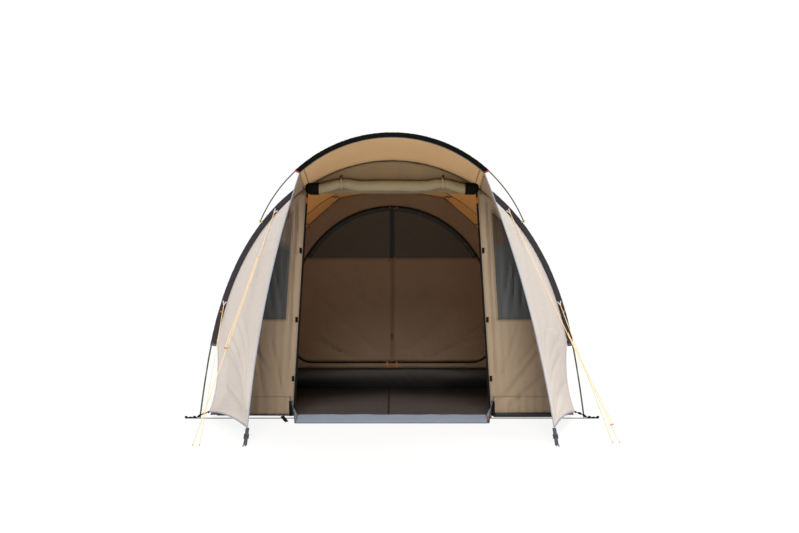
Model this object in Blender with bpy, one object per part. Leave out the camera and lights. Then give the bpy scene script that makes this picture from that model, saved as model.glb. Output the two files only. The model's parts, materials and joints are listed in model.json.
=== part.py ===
"""A three-metre tunnel tent, pitched with its door rolled up and its two porch wings pegged out.

Three sprung hoops stand in sleeves and carry the fly. A fourth, shorter pole leans out of the
front hoop and holds a canopy, and the wings run from its ends down to the ground. An inner tent
with a zipped door stands behind the middle hoop.

Metres, +Z up. The viewer stands at -Y, +X is to the right, and the origin is on the ground under
the middle of the front hoop.
"""

import math

import bmesh
import bpy
import numpy as np
from mathutils import Matrix, Vector

# Hoops. Half widths are taken between the pole feet on the ground.
HOOP_HALF_WIDTH = 1.50
HOOP_HEIGHT = 2.05
REAR_HALF_WIDTH = 1.32
REAR_HEIGHT = 1.60
MIDDLE_HOOP_Y = 1.61
REAR_HOOP_Y = 3.20
POLE_RADIUS = 0.00635
HOOP_STEPS = 18

# Sleeves. The tail is the flat part between the pole and the seam that joins sleeve and cloth.
SLEEVE_TAIL = 0.040
SLEEVE_WALL = 0.0012
TAIL_HALF_BORE = 0.0008
SLEEVE_END_STEP = 15

# Brow pole, which leans forward out of the front hoop.
BROW_FOOT_OUT = 0.021
BROW_FOOT_HEIGHT = 1.53
BROW_ABOVE_HOOP = 0.07
BROW_REACH = 0.70
BROW_POLE_RADIUS = 0.00475
BROW_SLEEVE_SHARE = 0.61
BROW_BARE_STEPS = 4
BROW_BARE_STEP = (1 - BROW_SLEEVE_SHARE) / BROW_BARE_STEPS
BROW_TAIL = 0.034
CANOPY_STEP = 6
TAB_WIDTH = 0.024
TAB_THICKNESS = 0.002
TAB_BEHIND_HOLE = 0.011
TAB_TIP = 0.010

# Cloth and seams.
CLOTH = 0.0012
SEAM_GAP = 0.00035
SEAM_OVERLAP = 0.003
HEM_HEIGHT = 0.030
BAY_SAG = 0.022
CANOPY_RISE = 0.030
REAR_WALL_BACK = 0.56
REAR_CORNER_BACK = 0.12
REAR_BULGE = 0.05

# Wings. Each tip is pegged by itself, so the two sides are set apart.
WING_TIP_OUT = {"left": 0.98, "right": 1.10}
WING_TIP_FORWARD = 0.88
WING_TIP_HEIGHT = 0.095
WING_CORNER_INSIDE_FOOT = 0.08
WING_CORNER_FORWARD = 0.03
WING_CORNER_HEIGHT = 0.055
WING_EDGE_BOW = 0.12
WING_SAG = 0.045
WING_FOOT_ARCH = 0.03
WING_FREE_ROWS = 6
WING_COLUMNS = 9
FOLD_DEPTH = 0.016
FOLD_REACH = 0.26
FOLD_COUNT = 3

# Front wall, doorway and windows.
DOOR_HALF_FOOT = 0.775
DOOR_BELOW_CROWN = 0.295
DOOR_CORNER_MARGIN = 0.055
WINDOW_FOOT = 0.767
WINDOW_BELOW_DOOR_TOP = 0.135
WINDOW_BESIDE_DOOR = 0.095
WINDOW_TOP_SLOPE = 0.82
WINDOW_MARGIN_FOOT = 0.078
WINDOW_MARGIN_TOP = 0.046
ROLL_RADIUS = 0.048
ROLL_BESIDE_CORNER = 0.028
ROLL_ABOVE_DOOR = 0.057
ROLL_END_DROP = 0.048
ROLL_TIE_INSIDE = 0.22
ROLL_TIE_REACH = 0.045
ROLL_PINCH = 0.14
ROLL_TAPER = 0.07

# Zips, sliders and pulls.
ZIP_TAPE = 0.016
ZIP_THICKNESS = 0.0014
COIL_WIDTH = 0.005
COIL_HEIGHT = 0.0016
SLIDER_LENGTH = 0.015
SLIDER_WIDTH = 0.011
SLIDER_ROOF = 0.002
RUNNING_GAP = 0.0004
BRIDGE_WIDTH = 0.003
BRIDGE_INSIDE = 0.0017
BRIDGE_OUTSIDE = 0.0035
PULL_BAR = 0.0008
PULL_HOLE = 0.0054
PULL_WIDTH = 0.009
PULL_LENGTH = 0.048
SLIDER_TOP_STOP = 0.030
CENTRE_SLIDER_ABOVE_FOOT = 0.27
INNER_SLIDER_OUT = 0.045

# Groundsheet and base straps.
FLOOR_INSIDE_FOOT = 0.10
FLOOR_THICKNESS = 0.0016
LIP_INSIDE_DOOR = 0.04
LIP_FORWARD = 0.21
LIP_RIDGE = 0.028
LIP_RIDGE_Y = 0.0
LIP_BACK = 0.10
STRAP_WIDTH = 0.025
STRAP_THICKNESS = 0.002
STRAP_BEYOND_FOOT = 0.115
EYELET_GAP = 0.001
PEG_SLOT_LENGTH = 0.026
PEG_SLOT_WIDTH = 0.013
PEG_SLOT_EDGE = 0.006

# Wing straps and their ladder-lock buckles.
WING_STRAP_FORWARD = 0.095
WING_STRAP_FLAT = 0.045
BUCKLE_LENGTH = 0.034
BUCKLE_RAIL = 0.004
BUCKLE_DEPTH = 0.0050
BUCKLE_BAR = 0.005
BUCKLE_LEDGE = 0.0006
BUCKLE_AT = 0.5

# Guy lines. The peg of each side has its own place, as has each runner.
GUY_RADIUS = 0.002
GUY_SIDES = 8
PEG_OUT = {"left": 1.32, "right": 1.53}
PEG_FORWARD = {"left": 1.02, "right": 0.93}
PEG_GAP = 0.045
GUY_UPPER_HEIGHT = 1.64
GUY_LOWER_HEIGHT = 0.92
GUY_DROP = 0.028
GUY_STRAP_WIDTH = 0.010
RING_AT = {"left": 0.22, "right": 0.56}
RUNNER_AT = {"left": 0.62, "right": 0.93}
LOWER_RUNNER_AT = 0.06
RUNNER_WIDTH = 0.011
RUNNER_THICKNESS = 0.006
RUNNER_HOLE_SPACING = 0.014
RETURN_AT_RING = 0.0055

# Inner tent.
INNER_INSET = 0.10
BATHTUB_HEIGHT = 0.19
INNER_BACK = 0.47
DOOR_ZIP_FOOT = 0.247
DOOR_ZIP_BELOW_CROWN = 0.292
DOOR_ZIP_HALF = 0.985
DOOR_ZIP_CORNER = 0.22
DOOR_ZIP_SHOULDER = 0.70
ARCH_STEPS = 12
CORNER_STEPS = 4

SIDES = {"left": -1.0, "right": 1.0}
SHARP_ANGLE = math.radians(35)


def material(name, colour, roughness, metallic=0.0):
    """A Principled material of one colour."""
    made = bpy.data.materials.new(name)
    made.use_nodes = True
    shader = made.node_tree.nodes["Principled BSDF"]
    shader.inputs["Base Color"].default_value = (*colour, 1.0)
    shader.inputs["Roughness"].default_value = roughness
    shader.inputs["Metallic"].default_value = metallic
    return made


def add_object(name, bm, finish):
    """Turns a bmesh into a named object with its own material."""
    bmesh.ops.recalc_face_normals(bm, faces=bm.faces)
    mesh = bpy.data.meshes.new(name)
    bm.to_mesh(mesh)
    bm.free()
    mesh.shade_smooth()
    mesh.set_sharp_from_angle(angle=SHARP_ANGLE)
    made = bpy.data.objects.new(name, mesh)
    bpy.context.scene.collection.objects.link(made)
    colour, roughness, metallic = finish
    mesh.materials.append(material(name, colour, roughness, metallic))
    return made


def woven_grid(rows, columns, point, close_rows=False, close_columns=False):
    """A grid of rows by columns cells, each vertex put where point(row, column) says.

    A closed direction has its last line merged into its first.
    """
    bm = bmesh.new()
    bmesh.ops.create_grid(bm, x_segments=rows, y_segments=columns, size=1.0)
    for vertex in bm.verts:
        row = round((vertex.co.x + 1) / 2 * rows)
        column = round((vertex.co.y + 1) / 2 * columns)
        row = row % rows if close_rows else row
        column = column % columns if close_columns else column
        vertex.co = point(row, column)
    if close_rows or close_columns:
        bmesh.ops.remove_doubles(bm, verts=bm.verts, dist=1e-6)
    return bm


def cap_ends(bm):
    """Closes every open rim of a tube with one flat face."""
    rims = [edge for edge in bm.edges if edge.is_boundary]
    bmesh.ops.holes_fill(bm, edges=rims, sides=0)


def cloth_sheet(name, rows, columns, point, finish, thickness=CLOTH):
    """A sheet of cloth through point(row, column), with its thickness half on either side."""
    made = add_object(name, woven_grid(rows, columns, point), finish)
    solid = made.modifiers.new("Thickness", "SOLIDIFY")
    solid.thickness = thickness
    solid.offset = 0.0
    return made


def plate(name, outline, depth, finish):
    """A flat outline of points pushed along the vector depth."""
    bm = bmesh.new()
    face = bm.faces.new([bm.verts.new(point) for point in outline])
    pushed = bmesh.ops.extrude_face_region(bm, geom=[face])
    moved = [item for item in pushed["geom"] if isinstance(item, bmesh.types.BMVert)]
    bmesh.ops.translate(bm, verts=moved, vec=Vector(depth))
    bmesh.ops.recalc_face_normals(bm, faces=bm.faces)
    bmesh.ops.triangulate(bm, faces=bm.faces)
    return add_object(name, bm, finish)


def prism_cutter(name, outlines, depth):
    """A hidden cutter made of one or more flat outlines pushed along depth."""
    bm = bmesh.new()
    for outline in outlines:
        face = bm.faces.new([bm.verts.new(point) for point in outline])
        pushed = bmesh.ops.extrude_face_region(bm, geom=[face])
        moved = [item for item in pushed["geom"] if isinstance(item, bmesh.types.BMVert)]
        bmesh.ops.translate(bm, verts=moved, vec=Vector(depth))
    made = add_object(name, bm, PLASTIC_BLACK)
    made.hide_render = True
    made.display_type = "WIRE"
    return made


def boolean(target, tool, operation):
    """Cuts tool from target, or joins it on."""
    step = target.modifiers.new(operation.title(), "BOOLEAN")
    step.operation = operation
    step.object = tool
    return target


def rectangle(centre, half_x, half_y):
    """Four corners of an upright rectangle in a horizontal plane."""
    x, y, z = centre
    return [
        Vector((x - half_x, y - half_y, z)),
        Vector((x + half_x, y - half_y, z)),
        Vector((x + half_x, y + half_y, z)),
        Vector((x - half_x, y + half_y, z)),
    ]


def circle(centre, radius, sides, first=(1, 0, 0), second=(0, 1, 0)):
    """Points round a circle that spans the directions first and second."""
    turn = [2 * math.pi * step / sides for step in range(sides)]
    centre, first, second = Vector(centre), Vector(first), Vector(second)
    return [centre + first * (radius * math.cos(a)) + second * (radius * math.sin(a)) for a in turn]


# Finishes: base colour, roughness, metallic.
FIBREGLASS = ((0.115, 0.115, 0.085), 0.35, 0.0)
SLEEVE_CHARCOAL = ((0.045, 0.040, 0.045), 0.80, 0.0)
SLEEVE_BLACK = ((0.018, 0.017, 0.015), 0.75, 0.0)
POLYCOTTON_PALE = ((0.66, 0.60, 0.53), 0.85, 0.0)
POLYCOTTON_TAN = ((0.46, 0.31, 0.16), 0.85, 0.0)
POLYCOTTON_TAUPE = ((0.215, 0.165, 0.125), 0.85, 0.0)
WINDOW_FILM = ((0.045, 0.043, 0.041), 0.35, 0.0)
GROUND_SHEET = ((0.19, 0.21, 0.25), 0.55, 0.0)
BATHTUB = ((0.010, 0.010, 0.010), 0.60, 0.0)
INNER_BROWN = ((0.070, 0.045, 0.028), 0.85, 0.0)
WEBBING_BLACK = ((0.014, 0.014, 0.014), 0.85, 0.0)
WEBBING_WHITE = ((0.62, 0.62, 0.64), 0.70, 0.0)
WEBBING_YELLOW = ((0.66, 0.55, 0.28), 0.80, 0.0)
PLASTIC_BLACK = ((0.016, 0.016, 0.016), 0.40, 0.0)
ZIP_BLACK = ((0.012, 0.012, 0.012), 0.65, 0.0)
ORANGE = ((0.85, 0.33, 0.06), 0.60, 0.0)
GUY_ORANGE = ((0.88, 0.56, 0.24), 0.80, 0.0)


class Hoop:
    """A springy pole pushed into a hoop: the curve of a slender rod held at its two feet.

    At a share u of the height, the cosine of its slope is 1 - bend * (1 - u * u). Along the pole
    a place is given by q, which is 0 at the top and 1 at a foot, with u = 1 - q * q.
    """

    SAMPLES = 1200

    def __init__(self, half_width, height, y):
        self.height = height
        self.y = y
        self.q = np.linspace(0.0, 1.0, self.SAMPLES + 1)
        low, high = 0.3, 1.9
        for _ in range(60):
            self.bend = (low + high) / 2
            self.x = self._half_outline()
            if self.x[-1] > half_width:
                low = self.bend
            else:
                high = self.bend

    def _cosine(self, q):
        return 1 - self.bend * (2 * q**2 - q**4)

    def _half_outline(self):
        """Distance from the centre line at each sample of q."""
        cosine = self._cosine(self.q[1:])
        sine = np.sqrt(np.maximum(1 - cosine**2, 1e-12))
        slope = np.concatenate([[1 / math.sqrt(self.bend)], cosine / sine * 2 * self.q[1:]])
        strips = (slope[1:] + slope[:-1]) / 2 * np.diff(self.q)
        return self.height * np.concatenate([[0.0], np.cumsum(strips)])

    def frame(self, step):
        """Place, tangent towards +X and outward normal at a signed step of HOOP_STEPS."""
        side = -1.0 if step < 0 else 1.0
        q = min(abs(step) / HOOP_STEPS, 1.0)
        cosine = self._cosine(q)
        sine = math.sqrt(max(1 - cosine * cosine, 0.0))
        place = Vector((side * float(np.interp(q, self.q, self.x)), self.y, self.height * (1 - q * q)))
        return place, Vector((cosine, 0, -side * sine)), Vector((side * sine, 0, cosine))

    def at(self, step, inset=0.0, forward=0.0):
        """A point inset from the pole's centre line, and moved forward of the hoop's plane."""
        place, _, outward = self.frame(step)
        return place - outward * inset + Vector((0, -forward, 0))

    def chord_frame(self, step):
        """The same as frame, but on the straight length between whole steps where step falls."""
        side = -1.0 if step < 0 else 1.0
        whole = math.floor(abs(step))
        near, far = self.frame(side * whole)[0], self.frame(side * (whole + 1))[0]
        along = (far - near).normalized() * side
        return near.lerp(far, abs(step) - whole), along, Vector((0, -1, 0)).cross(along)

    def step_at_height(self, height):
        """The step on the right-hand side where the pole is at a height."""
        return HOOP_STEPS * math.sqrt(max(1 - height / self.height, 0.0))

    def width_inside(self, inset, height):
        """Half the width inside the hoop at a height, measured on a line inset from the pole."""
        low, high = 0.0, float(HOOP_STEPS)
        for _ in range(40):
            middle = (low + high) / 2
            if self.at(middle, inset).z > height:
                low = middle
            else:
                high = middle
        return self.at(low, inset).x

    def hem_steps(self):
        """Whole steps from hem to hem, with the two end steps at the hem's height."""
        hem = self.step_at_height(HEM_HEIGHT)
        return [-hem, *range(1 - HOOP_STEPS, HOOP_STEPS), hem]


FRONT = Hoop(HOOP_HALF_WIDTH, HOOP_HEIGHT, 0.0)
MIDDLE = Hoop(HOOP_HALF_WIDTH, HOOP_HEIGHT, MIDDLE_HOOP_Y)
REAR = Hoop(REAR_HALF_WIDTH, REAR_HEIGHT, REAR_HOOP_Y)
HOOPS = {"front": FRONT, "middle": MIDDLE, "rear": REAR}

SEAM_INSET = SLEEVE_TAIL - SEAM_OVERLAP
WALL_INSET = SLEEVE_TAIL + SLEEVE_WALL + SEAM_GAP


def sleeve_half(inset):
    """Half the sleeve's thickness at a distance inside the pole's centre line."""
    nose = POLE_RADIUS + SEAM_GAP + SLEEVE_WALL
    end = TAIL_HALF_BORE + SLEEVE_WALL
    return nose + (end - nose) * inset / (SLEEVE_TAIL + SLEEVE_WALL)


# Distance of a cloth edge from a hoop's plane where the cloth meets the flank of the sleeve. A
# cloth that turns across the flank stands off by half its own thickness more.
SEAM_Y = sleeve_half(SEAM_INSET - CLOTH / 2) + SEAM_GAP
TURNED_SEAM_Y = SEAM_Y + CLOTH / 2


HEM_OUT = HOOP_HALF_WIDTH - WING_CORNER_INSIDE_FOOT
DOOR_TOP = HOOP_HEIGHT - DOOR_BELOW_CROWN
DOOR_HALF_TOP = FRONT.width_inside(WALL_INSET, DOOR_TOP) - DOOR_CORNER_MARGIN
WINDOW_TOP = DOOR_TOP - WINDOW_BELOW_DOOR_TOP
ROLL_HALF_LENGTH = DOOR_HALF_TOP - ROLL_BESIDE_CORNER
BROW_HEIGHT = HOOP_HEIGHT + BROW_ABOVE_HOOP
BROW_HALF_WIDTH = FRONT.width_inside(0.0, BROW_FOOT_HEIGHT) + BROW_FOOT_OUT
DOOR_ZIP_TOP = HOOP_HEIGHT - DOOR_ZIP_BELOW_CROWN


def brow_frame(share):
    """Place, tangent and sleeve direction on the brow pole, for a share from -1 to 1.

    Seen from the front the pole is an arc. It leaves the front hoop at its feet and leans out
    furthest at its top. The sleeve hangs from it, half back towards the hoop and half inwards.
    """
    rise = BROW_HEIGHT - BROW_FOOT_HEIGHT
    radius = (BROW_HALF_WIDTH**2 + rise**2) / (2 * rise)
    full = math.asin(BROW_HALF_WIDTH / radius)
    turn = share * full
    lean = math.pi / 2 * share
    place = Vector((
        radius * math.sin(turn),
        -BROW_REACH * math.cos(lean) - POLE_RADIUS,
        BROW_HEIGHT - radius * (1 - math.cos(turn)),
    ))
    tangent = Vector((
        radius * math.cos(turn),
        BROW_REACH * math.sin(lean) * math.pi / 2 / full,
        -radius * math.sin(turn),
    )).normalized()
    inward = Vector((-math.sin(turn), 1.0, -math.cos(turn)))
    tail = (inward - tangent * inward.dot(tangent)).normalized()
    return place, tangent, tail


def rod(name, frames, radius, finish):
    """A round pole through a list of (place, first direction, second direction)."""
    sides = 8

    def point(row, column):
        place, first, second = frames[row]
        turn = 2 * math.pi * column / sides
        return place + first * (radius * math.cos(turn)) + second * (radius * math.sin(turn))

    bm = woven_grid(len(frames) - 1, sides, point, close_columns=True)
    cap_ends(bm)
    return add_object(name, bm, finish)


def sleeve_section(radius, tail, wall):
    """Half-section points (towards the tail, across) of a sleeve: a round nose and a flat tail."""
    nose = [(-radius * math.cos(a), radius * math.sin(a)) for a in np.radians([-90, -45, 0, 45, 90])]
    end = TAIL_HALF_BORE + wall
    return [*nose, (tail, end), (tail, -end)]


def sleeve(name, frames, pole_radius, tail, finish):
    """A cloth tunnel round a pole, open at both ends, through (place, tail direction, across)."""
    bore = sleeve_section(pole_radius + SEAM_GAP, tail, 0.0)
    skin = sleeve_section(pole_radius + SEAM_GAP + SLEEVE_WALL, tail + SLEEVE_WALL, SLEEVE_WALL)
    count = len(frames)

    def point(row, column):
        outside = row < count
        place, towards, across = frames[row if outside else 2 * count - 1 - row]
        along, aside = (skin if outside else bore)[column]
        return place + towards * along + across * aside

    bm = woven_grid(2 * count, len(bore), point, close_rows=True, close_columns=True)
    return add_object(name, bm, finish)


def build_hoops():
    """The three hoop poles and their sleeves."""
    across = Vector((0, 1, 0))
    for name, hoop in HOOPS.items():
        steps = range(-HOOP_STEPS, HOOP_STEPS + 1)
        frames = [(hoop.frame(step)[0], hoop.frame(step)[2], across) for step in steps]
        for index in (0, -1):
            frames[index] = (frames[index][0], Vector((1, 0, 0)), across)
        rod(f"{name}_hoop_pole", frames, POLE_RADIUS, FIBREGLASS)
        covered = range(-SLEEVE_END_STEP, SLEEVE_END_STEP + 1)
        frames = [(hoop.frame(step)[0], -hoop.frame(step)[2], across) for step in covered]
        sleeve(f"{name}_hoop_sleeve", frames, POLE_RADIUS, SLEEVE_TAIL, SLEEVE_CHARCOAL)


def brow_share(step):
    """The brow pole's share that faces a step of the front hoop under the canopy."""
    return BROW_SLEEVE_SHARE * step / CANOPY_STEP


def canopy_front_edge(step):
    """Where the canopy meets the tail of the brow sleeve."""
    place, _, tail = brow_frame(brow_share(step))
    return place + tail * (BROW_TAIL + SLEEVE_WALL + SEAM_GAP + CLOTH / 2)


def build_brow():
    """The brow pole, its sleeve and the eyelet tabs that hold its ends."""
    covered = [brow_share(step) for step in range(-CANOPY_STEP, CANOPY_STEP + 1)]
    bare = [BROW_SLEEVE_SHARE + BROW_BARE_STEP * number for number in range(1, BROW_BARE_STEPS + 1)]
    shares = [-share for share in reversed(bare)] + covered + bare

    def frames_at(places):
        found = []
        for share in places:
            place, tangent, tail = brow_frame(share)
            found.append((place, tail, tangent.cross(tail)))
        return found

    rod("brow_pole", frames_at(shares), BROW_POLE_RADIUS, FIBREGLASS)
    sleeve("brow_sleeve", frames_at(covered), BROW_POLE_RADIUS, BROW_TAIL, SLEEVE_BLACK)
    for side, sign in SIDES.items():
        eyelet_tab(side, sign)


def distance_to_line(point, place, direction):
    """How far a point is from a line through place along a unit direction."""
    away = point - place
    return (away - direction * away.dot(direction)).length


def eyelet_tab(side, sign):
    """A stiff webbing tab, square to the brow pole, that reaches from its eyelet to the sleeve.

    Its end moves towards the middle of the hoop's pole until a corner all but touches the sleeve.
    """
    end = brow_frame(sign)[0]
    along = (end - brow_frame(sign * (1 - BROW_BARE_STEP))[0]).normalized()
    hoop_place, hoop_along, _ = FRONT.chord_frame(sign * FRONT.step_at_height(BROW_FOOT_HEIGHT))
    centre = end - along * TAB_TIP
    crossing = hoop_place + hoop_along * ((centre - hoop_place).dot(along) / hoop_along.dot(along))
    towards = (crossing - centre).normalized()
    across = along.cross(towards)
    seat = POLE_RADIUS + SEAM_GAP + SLEEVE_WALL + SEAM_GAP
    low, high = 0.0, (crossing - centre).length
    for _ in range(40):
        reach = (low + high) / 2
        corners = [
            centre + towards * reach + across * (TAB_WIDTH / 2 * share) + along * depth
            for share in (-1, -0.5, 0, 0.5, 1)
            for depth in (0, TAB_THICKNESS)
        ]
        if min(distance_to_line(point, hoop_place, hoop_along) for point in corners) > seat:
            low = reach
        else:
            high = reach
    outline = [
        centre + towards * low + across * (TAB_WIDTH / 2),
        centre + towards * low - across * (TAB_WIDTH / 2),
        centre - towards * TAB_BEHIND_HOLE - across * (TAB_WIDTH / 2),
        centre - towards * TAB_BEHIND_HOLE + across * (TAB_WIDTH / 2),
    ]
    tab = plate(f"brow_tab_{side}", outline, along * TAB_THICKNESS, WEBBING_YELLOW)
    hole = circle(centre - along * TAB_TIP, BROW_POLE_RADIUS + RUNNING_GAP, 12, towards, across)
    cutter = prism_cutter(f"cutter_brow_tab_{side}", [hole], along * (3 * TAB_TIP))
    boolean(tab, cutter, "DIFFERENCE")


def bay_point(near, far, step, share):
    """A point of the roof between two hoops, drawn inwards between them as taut cloth is."""
    start = near[0].at(step, SEAM_INSET, -SEAM_Y)
    end = far[0].at(far[1], SEAM_INSET, SEAM_Y)
    _, _, outward = near[0].frame(step)
    return start.lerp(end, share) - outward * (BAY_SAG * 4 * share * (1 - share))


def roof_bay(name, near, far, columns, finish):
    """The roof cloth from one hoop to the next, down to both hems."""
    near_steps, far_steps = near.hem_steps(), far.hem_steps()

    def point(row, column):
        return bay_point((near,), (far, far_steps[row]), near_steps[row], column / columns)

    return cloth_sheet(name, len(near_steps) - 1, columns, point, finish)


def rear_ground(step, hoop, half_width, back, height):
    """The foot of a rear wall: a bow on the ground behind the last hoop."""
    turn = math.pi / 2 * step / HOOP_STEPS
    return Vector((
        half_width * math.sin(turn),
        hoop.y + REAR_CORNER_BACK + (back - REAR_CORNER_BACK) * math.cos(turn),
        height,
    ))


def build_roof():
    """Both roof bays, the rear wall and the canopy."""
    roof_bay("roof_front_bay", FRONT, MIDDLE, 5, POLYCOTTON_PALE)
    roof_bay("roof_rear_bay", MIDDLE, REAR, 5, POLYCOTTON_PALE)
    steps = REAR.hem_steps()
    columns = 4
    foot_half = REAR.at(steps[-1], SEAM_INSET).x

    def rear_point(row, column):
        share = column / columns
        step = steps[row]
        top = REAR.at(step, SEAM_INSET, -TURNED_SEAM_Y)
        foot = rear_ground(step, REAR, foot_half, REAR_WALL_BACK + REAR_CORNER_BACK, HEM_HEIGHT)
        bulge = REAR_BULGE * 4 * share * (1 - share) * (1 - abs(step) / HOOP_STEPS)
        return top.lerp(foot, share) + Vector((0, bulge, bulge))

    cloth_sheet("rear_wall", len(steps) - 1, columns, rear_point, POLYCOTTON_PALE)
    canopy_rows = 2 * CANOPY_STEP
    canopy_columns = 4

    def canopy_point(row, column):
        share = column / canopy_columns
        step = row - CANOPY_STEP
        start = FRONT.at(step, SEAM_INSET, SEAM_Y)
        rise = CANOPY_RISE * 4 * share * (1 - share) * (1 - (step / CANOPY_STEP) ** 2)
        return start.lerp(canopy_front_edge(step), share) + Vector((0, 0, rise))

    cloth_sheet("canopy", canopy_rows, canopy_columns, canopy_point, POLYCOTTON_TAN)


def cubic(points, share):
    """A point on a Bezier curve through four control points."""
    a, b, c, d = points
    rest = 1 - share
    return a * rest**3 + b * (3 * rest**2 * share) + c * (3 * rest * share**2) + d * share**3


def wing_tip(side, sign):
    """The corner of the wing that is pegged out in front."""
    return Vector((sign * WING_TIP_OUT[side], -WING_TIP_FORWARD, WING_TIP_HEIGHT))


def wing_surface(side, sign):
    """The wing's points by row, from the canopy down, and by column, from hoop to front edge."""
    sewn_rows = SLEEVE_END_STEP - CANOPY_STEP
    rows = sewn_rows + WING_FREE_ROWS
    sleeve_end = FRONT.at(sign * SLEEVE_END_STEP, SEAM_INSET, TURNED_SEAM_Y)
    corner = Vector((sign * HEM_OUT, -WING_CORNER_FORWARD, WING_CORNER_HEIGHT))
    drop = sleeve_end.z - corner.z
    free_edge = [
        sleeve_end,
        sleeve_end + Vector((-sign * 0.2 * (sleeve_end.x * sign - corner.x * sign + 0.1), 0, -0.4 * drop)),
        corner + Vector((-sign * 0.07, WING_CORNER_FORWARD / 3, 0.35 * drop)),
        corner,
    ]
    top = canopy_front_edge(sign * CANOPY_STEP)
    _, along, _ = FRONT.frame(sign * CANOPY_STEP)
    clear = along * (sign * (SEAM_GAP + CLOTH / 2))
    tip = wing_tip(side, sign)
    back = Vector((sign * 0.57, 0.82, 0.0))

    def point(row, column):
        share = column / WING_COLUMNS
        fall = row / rows
        if row <= sewn_rows:
            rear = FRONT.at(sign * (CANOPY_STEP + row), SEAM_INSET, TURNED_SEAM_Y)
        else:
            rear = cubic(free_edge, (row - sewn_rows) / WING_FREE_ROWS)
        front = top.lerp(tip, fall) + back * (WING_EDGE_BOW * 4 * fall * (1 - fall))
        place = rear.lerp(front, share) + clear * (1 - fall)
        inwards = Vector((-sign, -0.2, 0))
        place += inwards * (WING_SAG * 4 * share * (1 - share) * math.sin(math.pi * fall) ** 0.5)
        place.z += WING_FOOT_ARCH * 4 * share * (1 - share) * fall**4
        away = (place - tip).length
        angle = (1 - share) / max((1 - share) + (1 - fall), 1e-6)
        fold = math.sin(FOLD_COUNT * math.pi * angle) * (away / FOLD_REACH) * math.exp(1 - away / FOLD_REACH)
        return place + inwards * (FOLD_DEPTH * fold * (0 if share in (0, 1) else 1))

    return rows, point


def build_wings():
    """The two porch wings with the straps and buckles that pull out their tips."""
    for side, sign in SIDES.items():
        rows, point = wing_surface(side, sign)
        cloth_sheet(f"wing_{side}", rows, WING_COLUMNS, point, POLYCOTTON_PALE)
        wing_strap(side, sign)


def wing_strap(side, sign):
    """A strap from the wing's tip to the ground, threaded through a ladder-lock buckle."""
    tip = wing_tip(side, sign)
    ground_height = STRAP_THICKNESS / 2
    toe = Vector((tip.x, tip.y - WING_STRAP_FORWARD, ground_height))
    run = (toe - tip).normalized()
    start = tip + run * (2 * SEAM_GAP)
    path = [start, toe, toe + Vector((0, -WING_STRAP_FLAT, 0))]
    half = Vector((STRAP_WIDTH / 2, 0, 0))

    def point(row, column):
        return path[row] + half * (2 * column - 1)

    strap = cloth_sheet(f"wing_strap_{side}", 2, 1, point, WEBBING_BLACK, STRAP_THICKNESS)
    hole = Vector((tip.x, path[2].y + PEG_SLOT_EDGE + PEG_SLOT_LENGTH / 2, -STRAP_WIDTH))
    slot = rectangle(hole, PEG_SLOT_WIDTH / 2, PEG_SLOT_LENGTH / 2)
    cutter = prism_cutter(f"cutter_wing_strap_{side}", [slot], (0, 0, 2 * STRAP_WIDTH))
    boolean(strap, cutter, "DIFFERENCE")
    ladder_lock(side, start.lerp(toe, BUCKLE_AT), run)


def ladder_lock(side, centre, run):
    """A moulded frame of two rails and three bars. The strap goes over, under and over the bars."""
    wide = Vector((1, 0, 0))
    up = wide.cross(run).normalized()
    if up.z < 0:
        up = -up
    clear = STRAP_THICKNESS / 2 + SEAM_GAP

    def block(name, middle, half_wide, half_run, half_up):
        outline = [
            middle + wide * (a * half_wide) + run * (b * half_run) - up * half_up
            for a, b in ((-1, -1), (1, -1), (1, 1), (-1, 1))
        ]
        return plate(name, outline, up * (2 * half_up), PLASTIC_BLACK)

    rail_at = STRAP_WIDTH / 2 + SEAM_GAP + BUCKLE_RAIL / 2
    bar_thick = BUCKLE_DEPTH - clear - BUCKLE_LEDGE
    rail_size = (BUCKLE_RAIL / 2, BUCKLE_LENGTH / 2, BUCKLE_DEPTH)
    body = block(f"wing_buckle_{side}", centre - wide * rail_at, *rail_size)
    pieces = [block(f"cutter_rail_{side}", centre + wide * rail_at, *rail_size)]
    for number, (place, level) in enumerate(((-1, -1), (0, 1), (1, -1))):
        middle = centre + run * (place * ((BUCKLE_LENGTH - BUCKLE_BAR) / 2 - BUCKLE_LEDGE))
        middle += up * (level * (clear + bar_thick / 2))
        pieces.append(block(f"cutter_bar_{side}_{number}", middle, rail_at, BUCKLE_BAR / 2, bar_thick / 2))
    for piece in pieces:
        piece.hide_render = True
        piece.display_type = "WIRE"
        boolean(body, piece, "UNION")


def door_half(height):
    """Half the doorway's width at a height."""
    return DOOR_HALF_FOOT + (DOOR_HALF_TOP - DOOR_HALF_FOOT) * (height - HEM_HEIGHT) / (DOOR_TOP - HEM_HEIGHT)


def hoop_edge(hoop, inset, low, sign):
    """Points on a hoop's inset line from a height up to the crown, at every whole step."""
    lowest = hoop.step_at_height(low)
    steps = [lowest, *(step for step in range(HOOP_STEPS, -1, -1) if step < lowest)]
    return [hoop.at(sign * step, inset) for step in steps]


def cut_at_height(points, height):
    """A point list that runs upwards, ended where it passes a height."""
    kept = [point for point in points if point.z < height]
    after = points[len(kept)]
    before = kept[-1]
    return [*kept, before.lerp(after, (height - before.z) / (after.z - before.z))]


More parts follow.
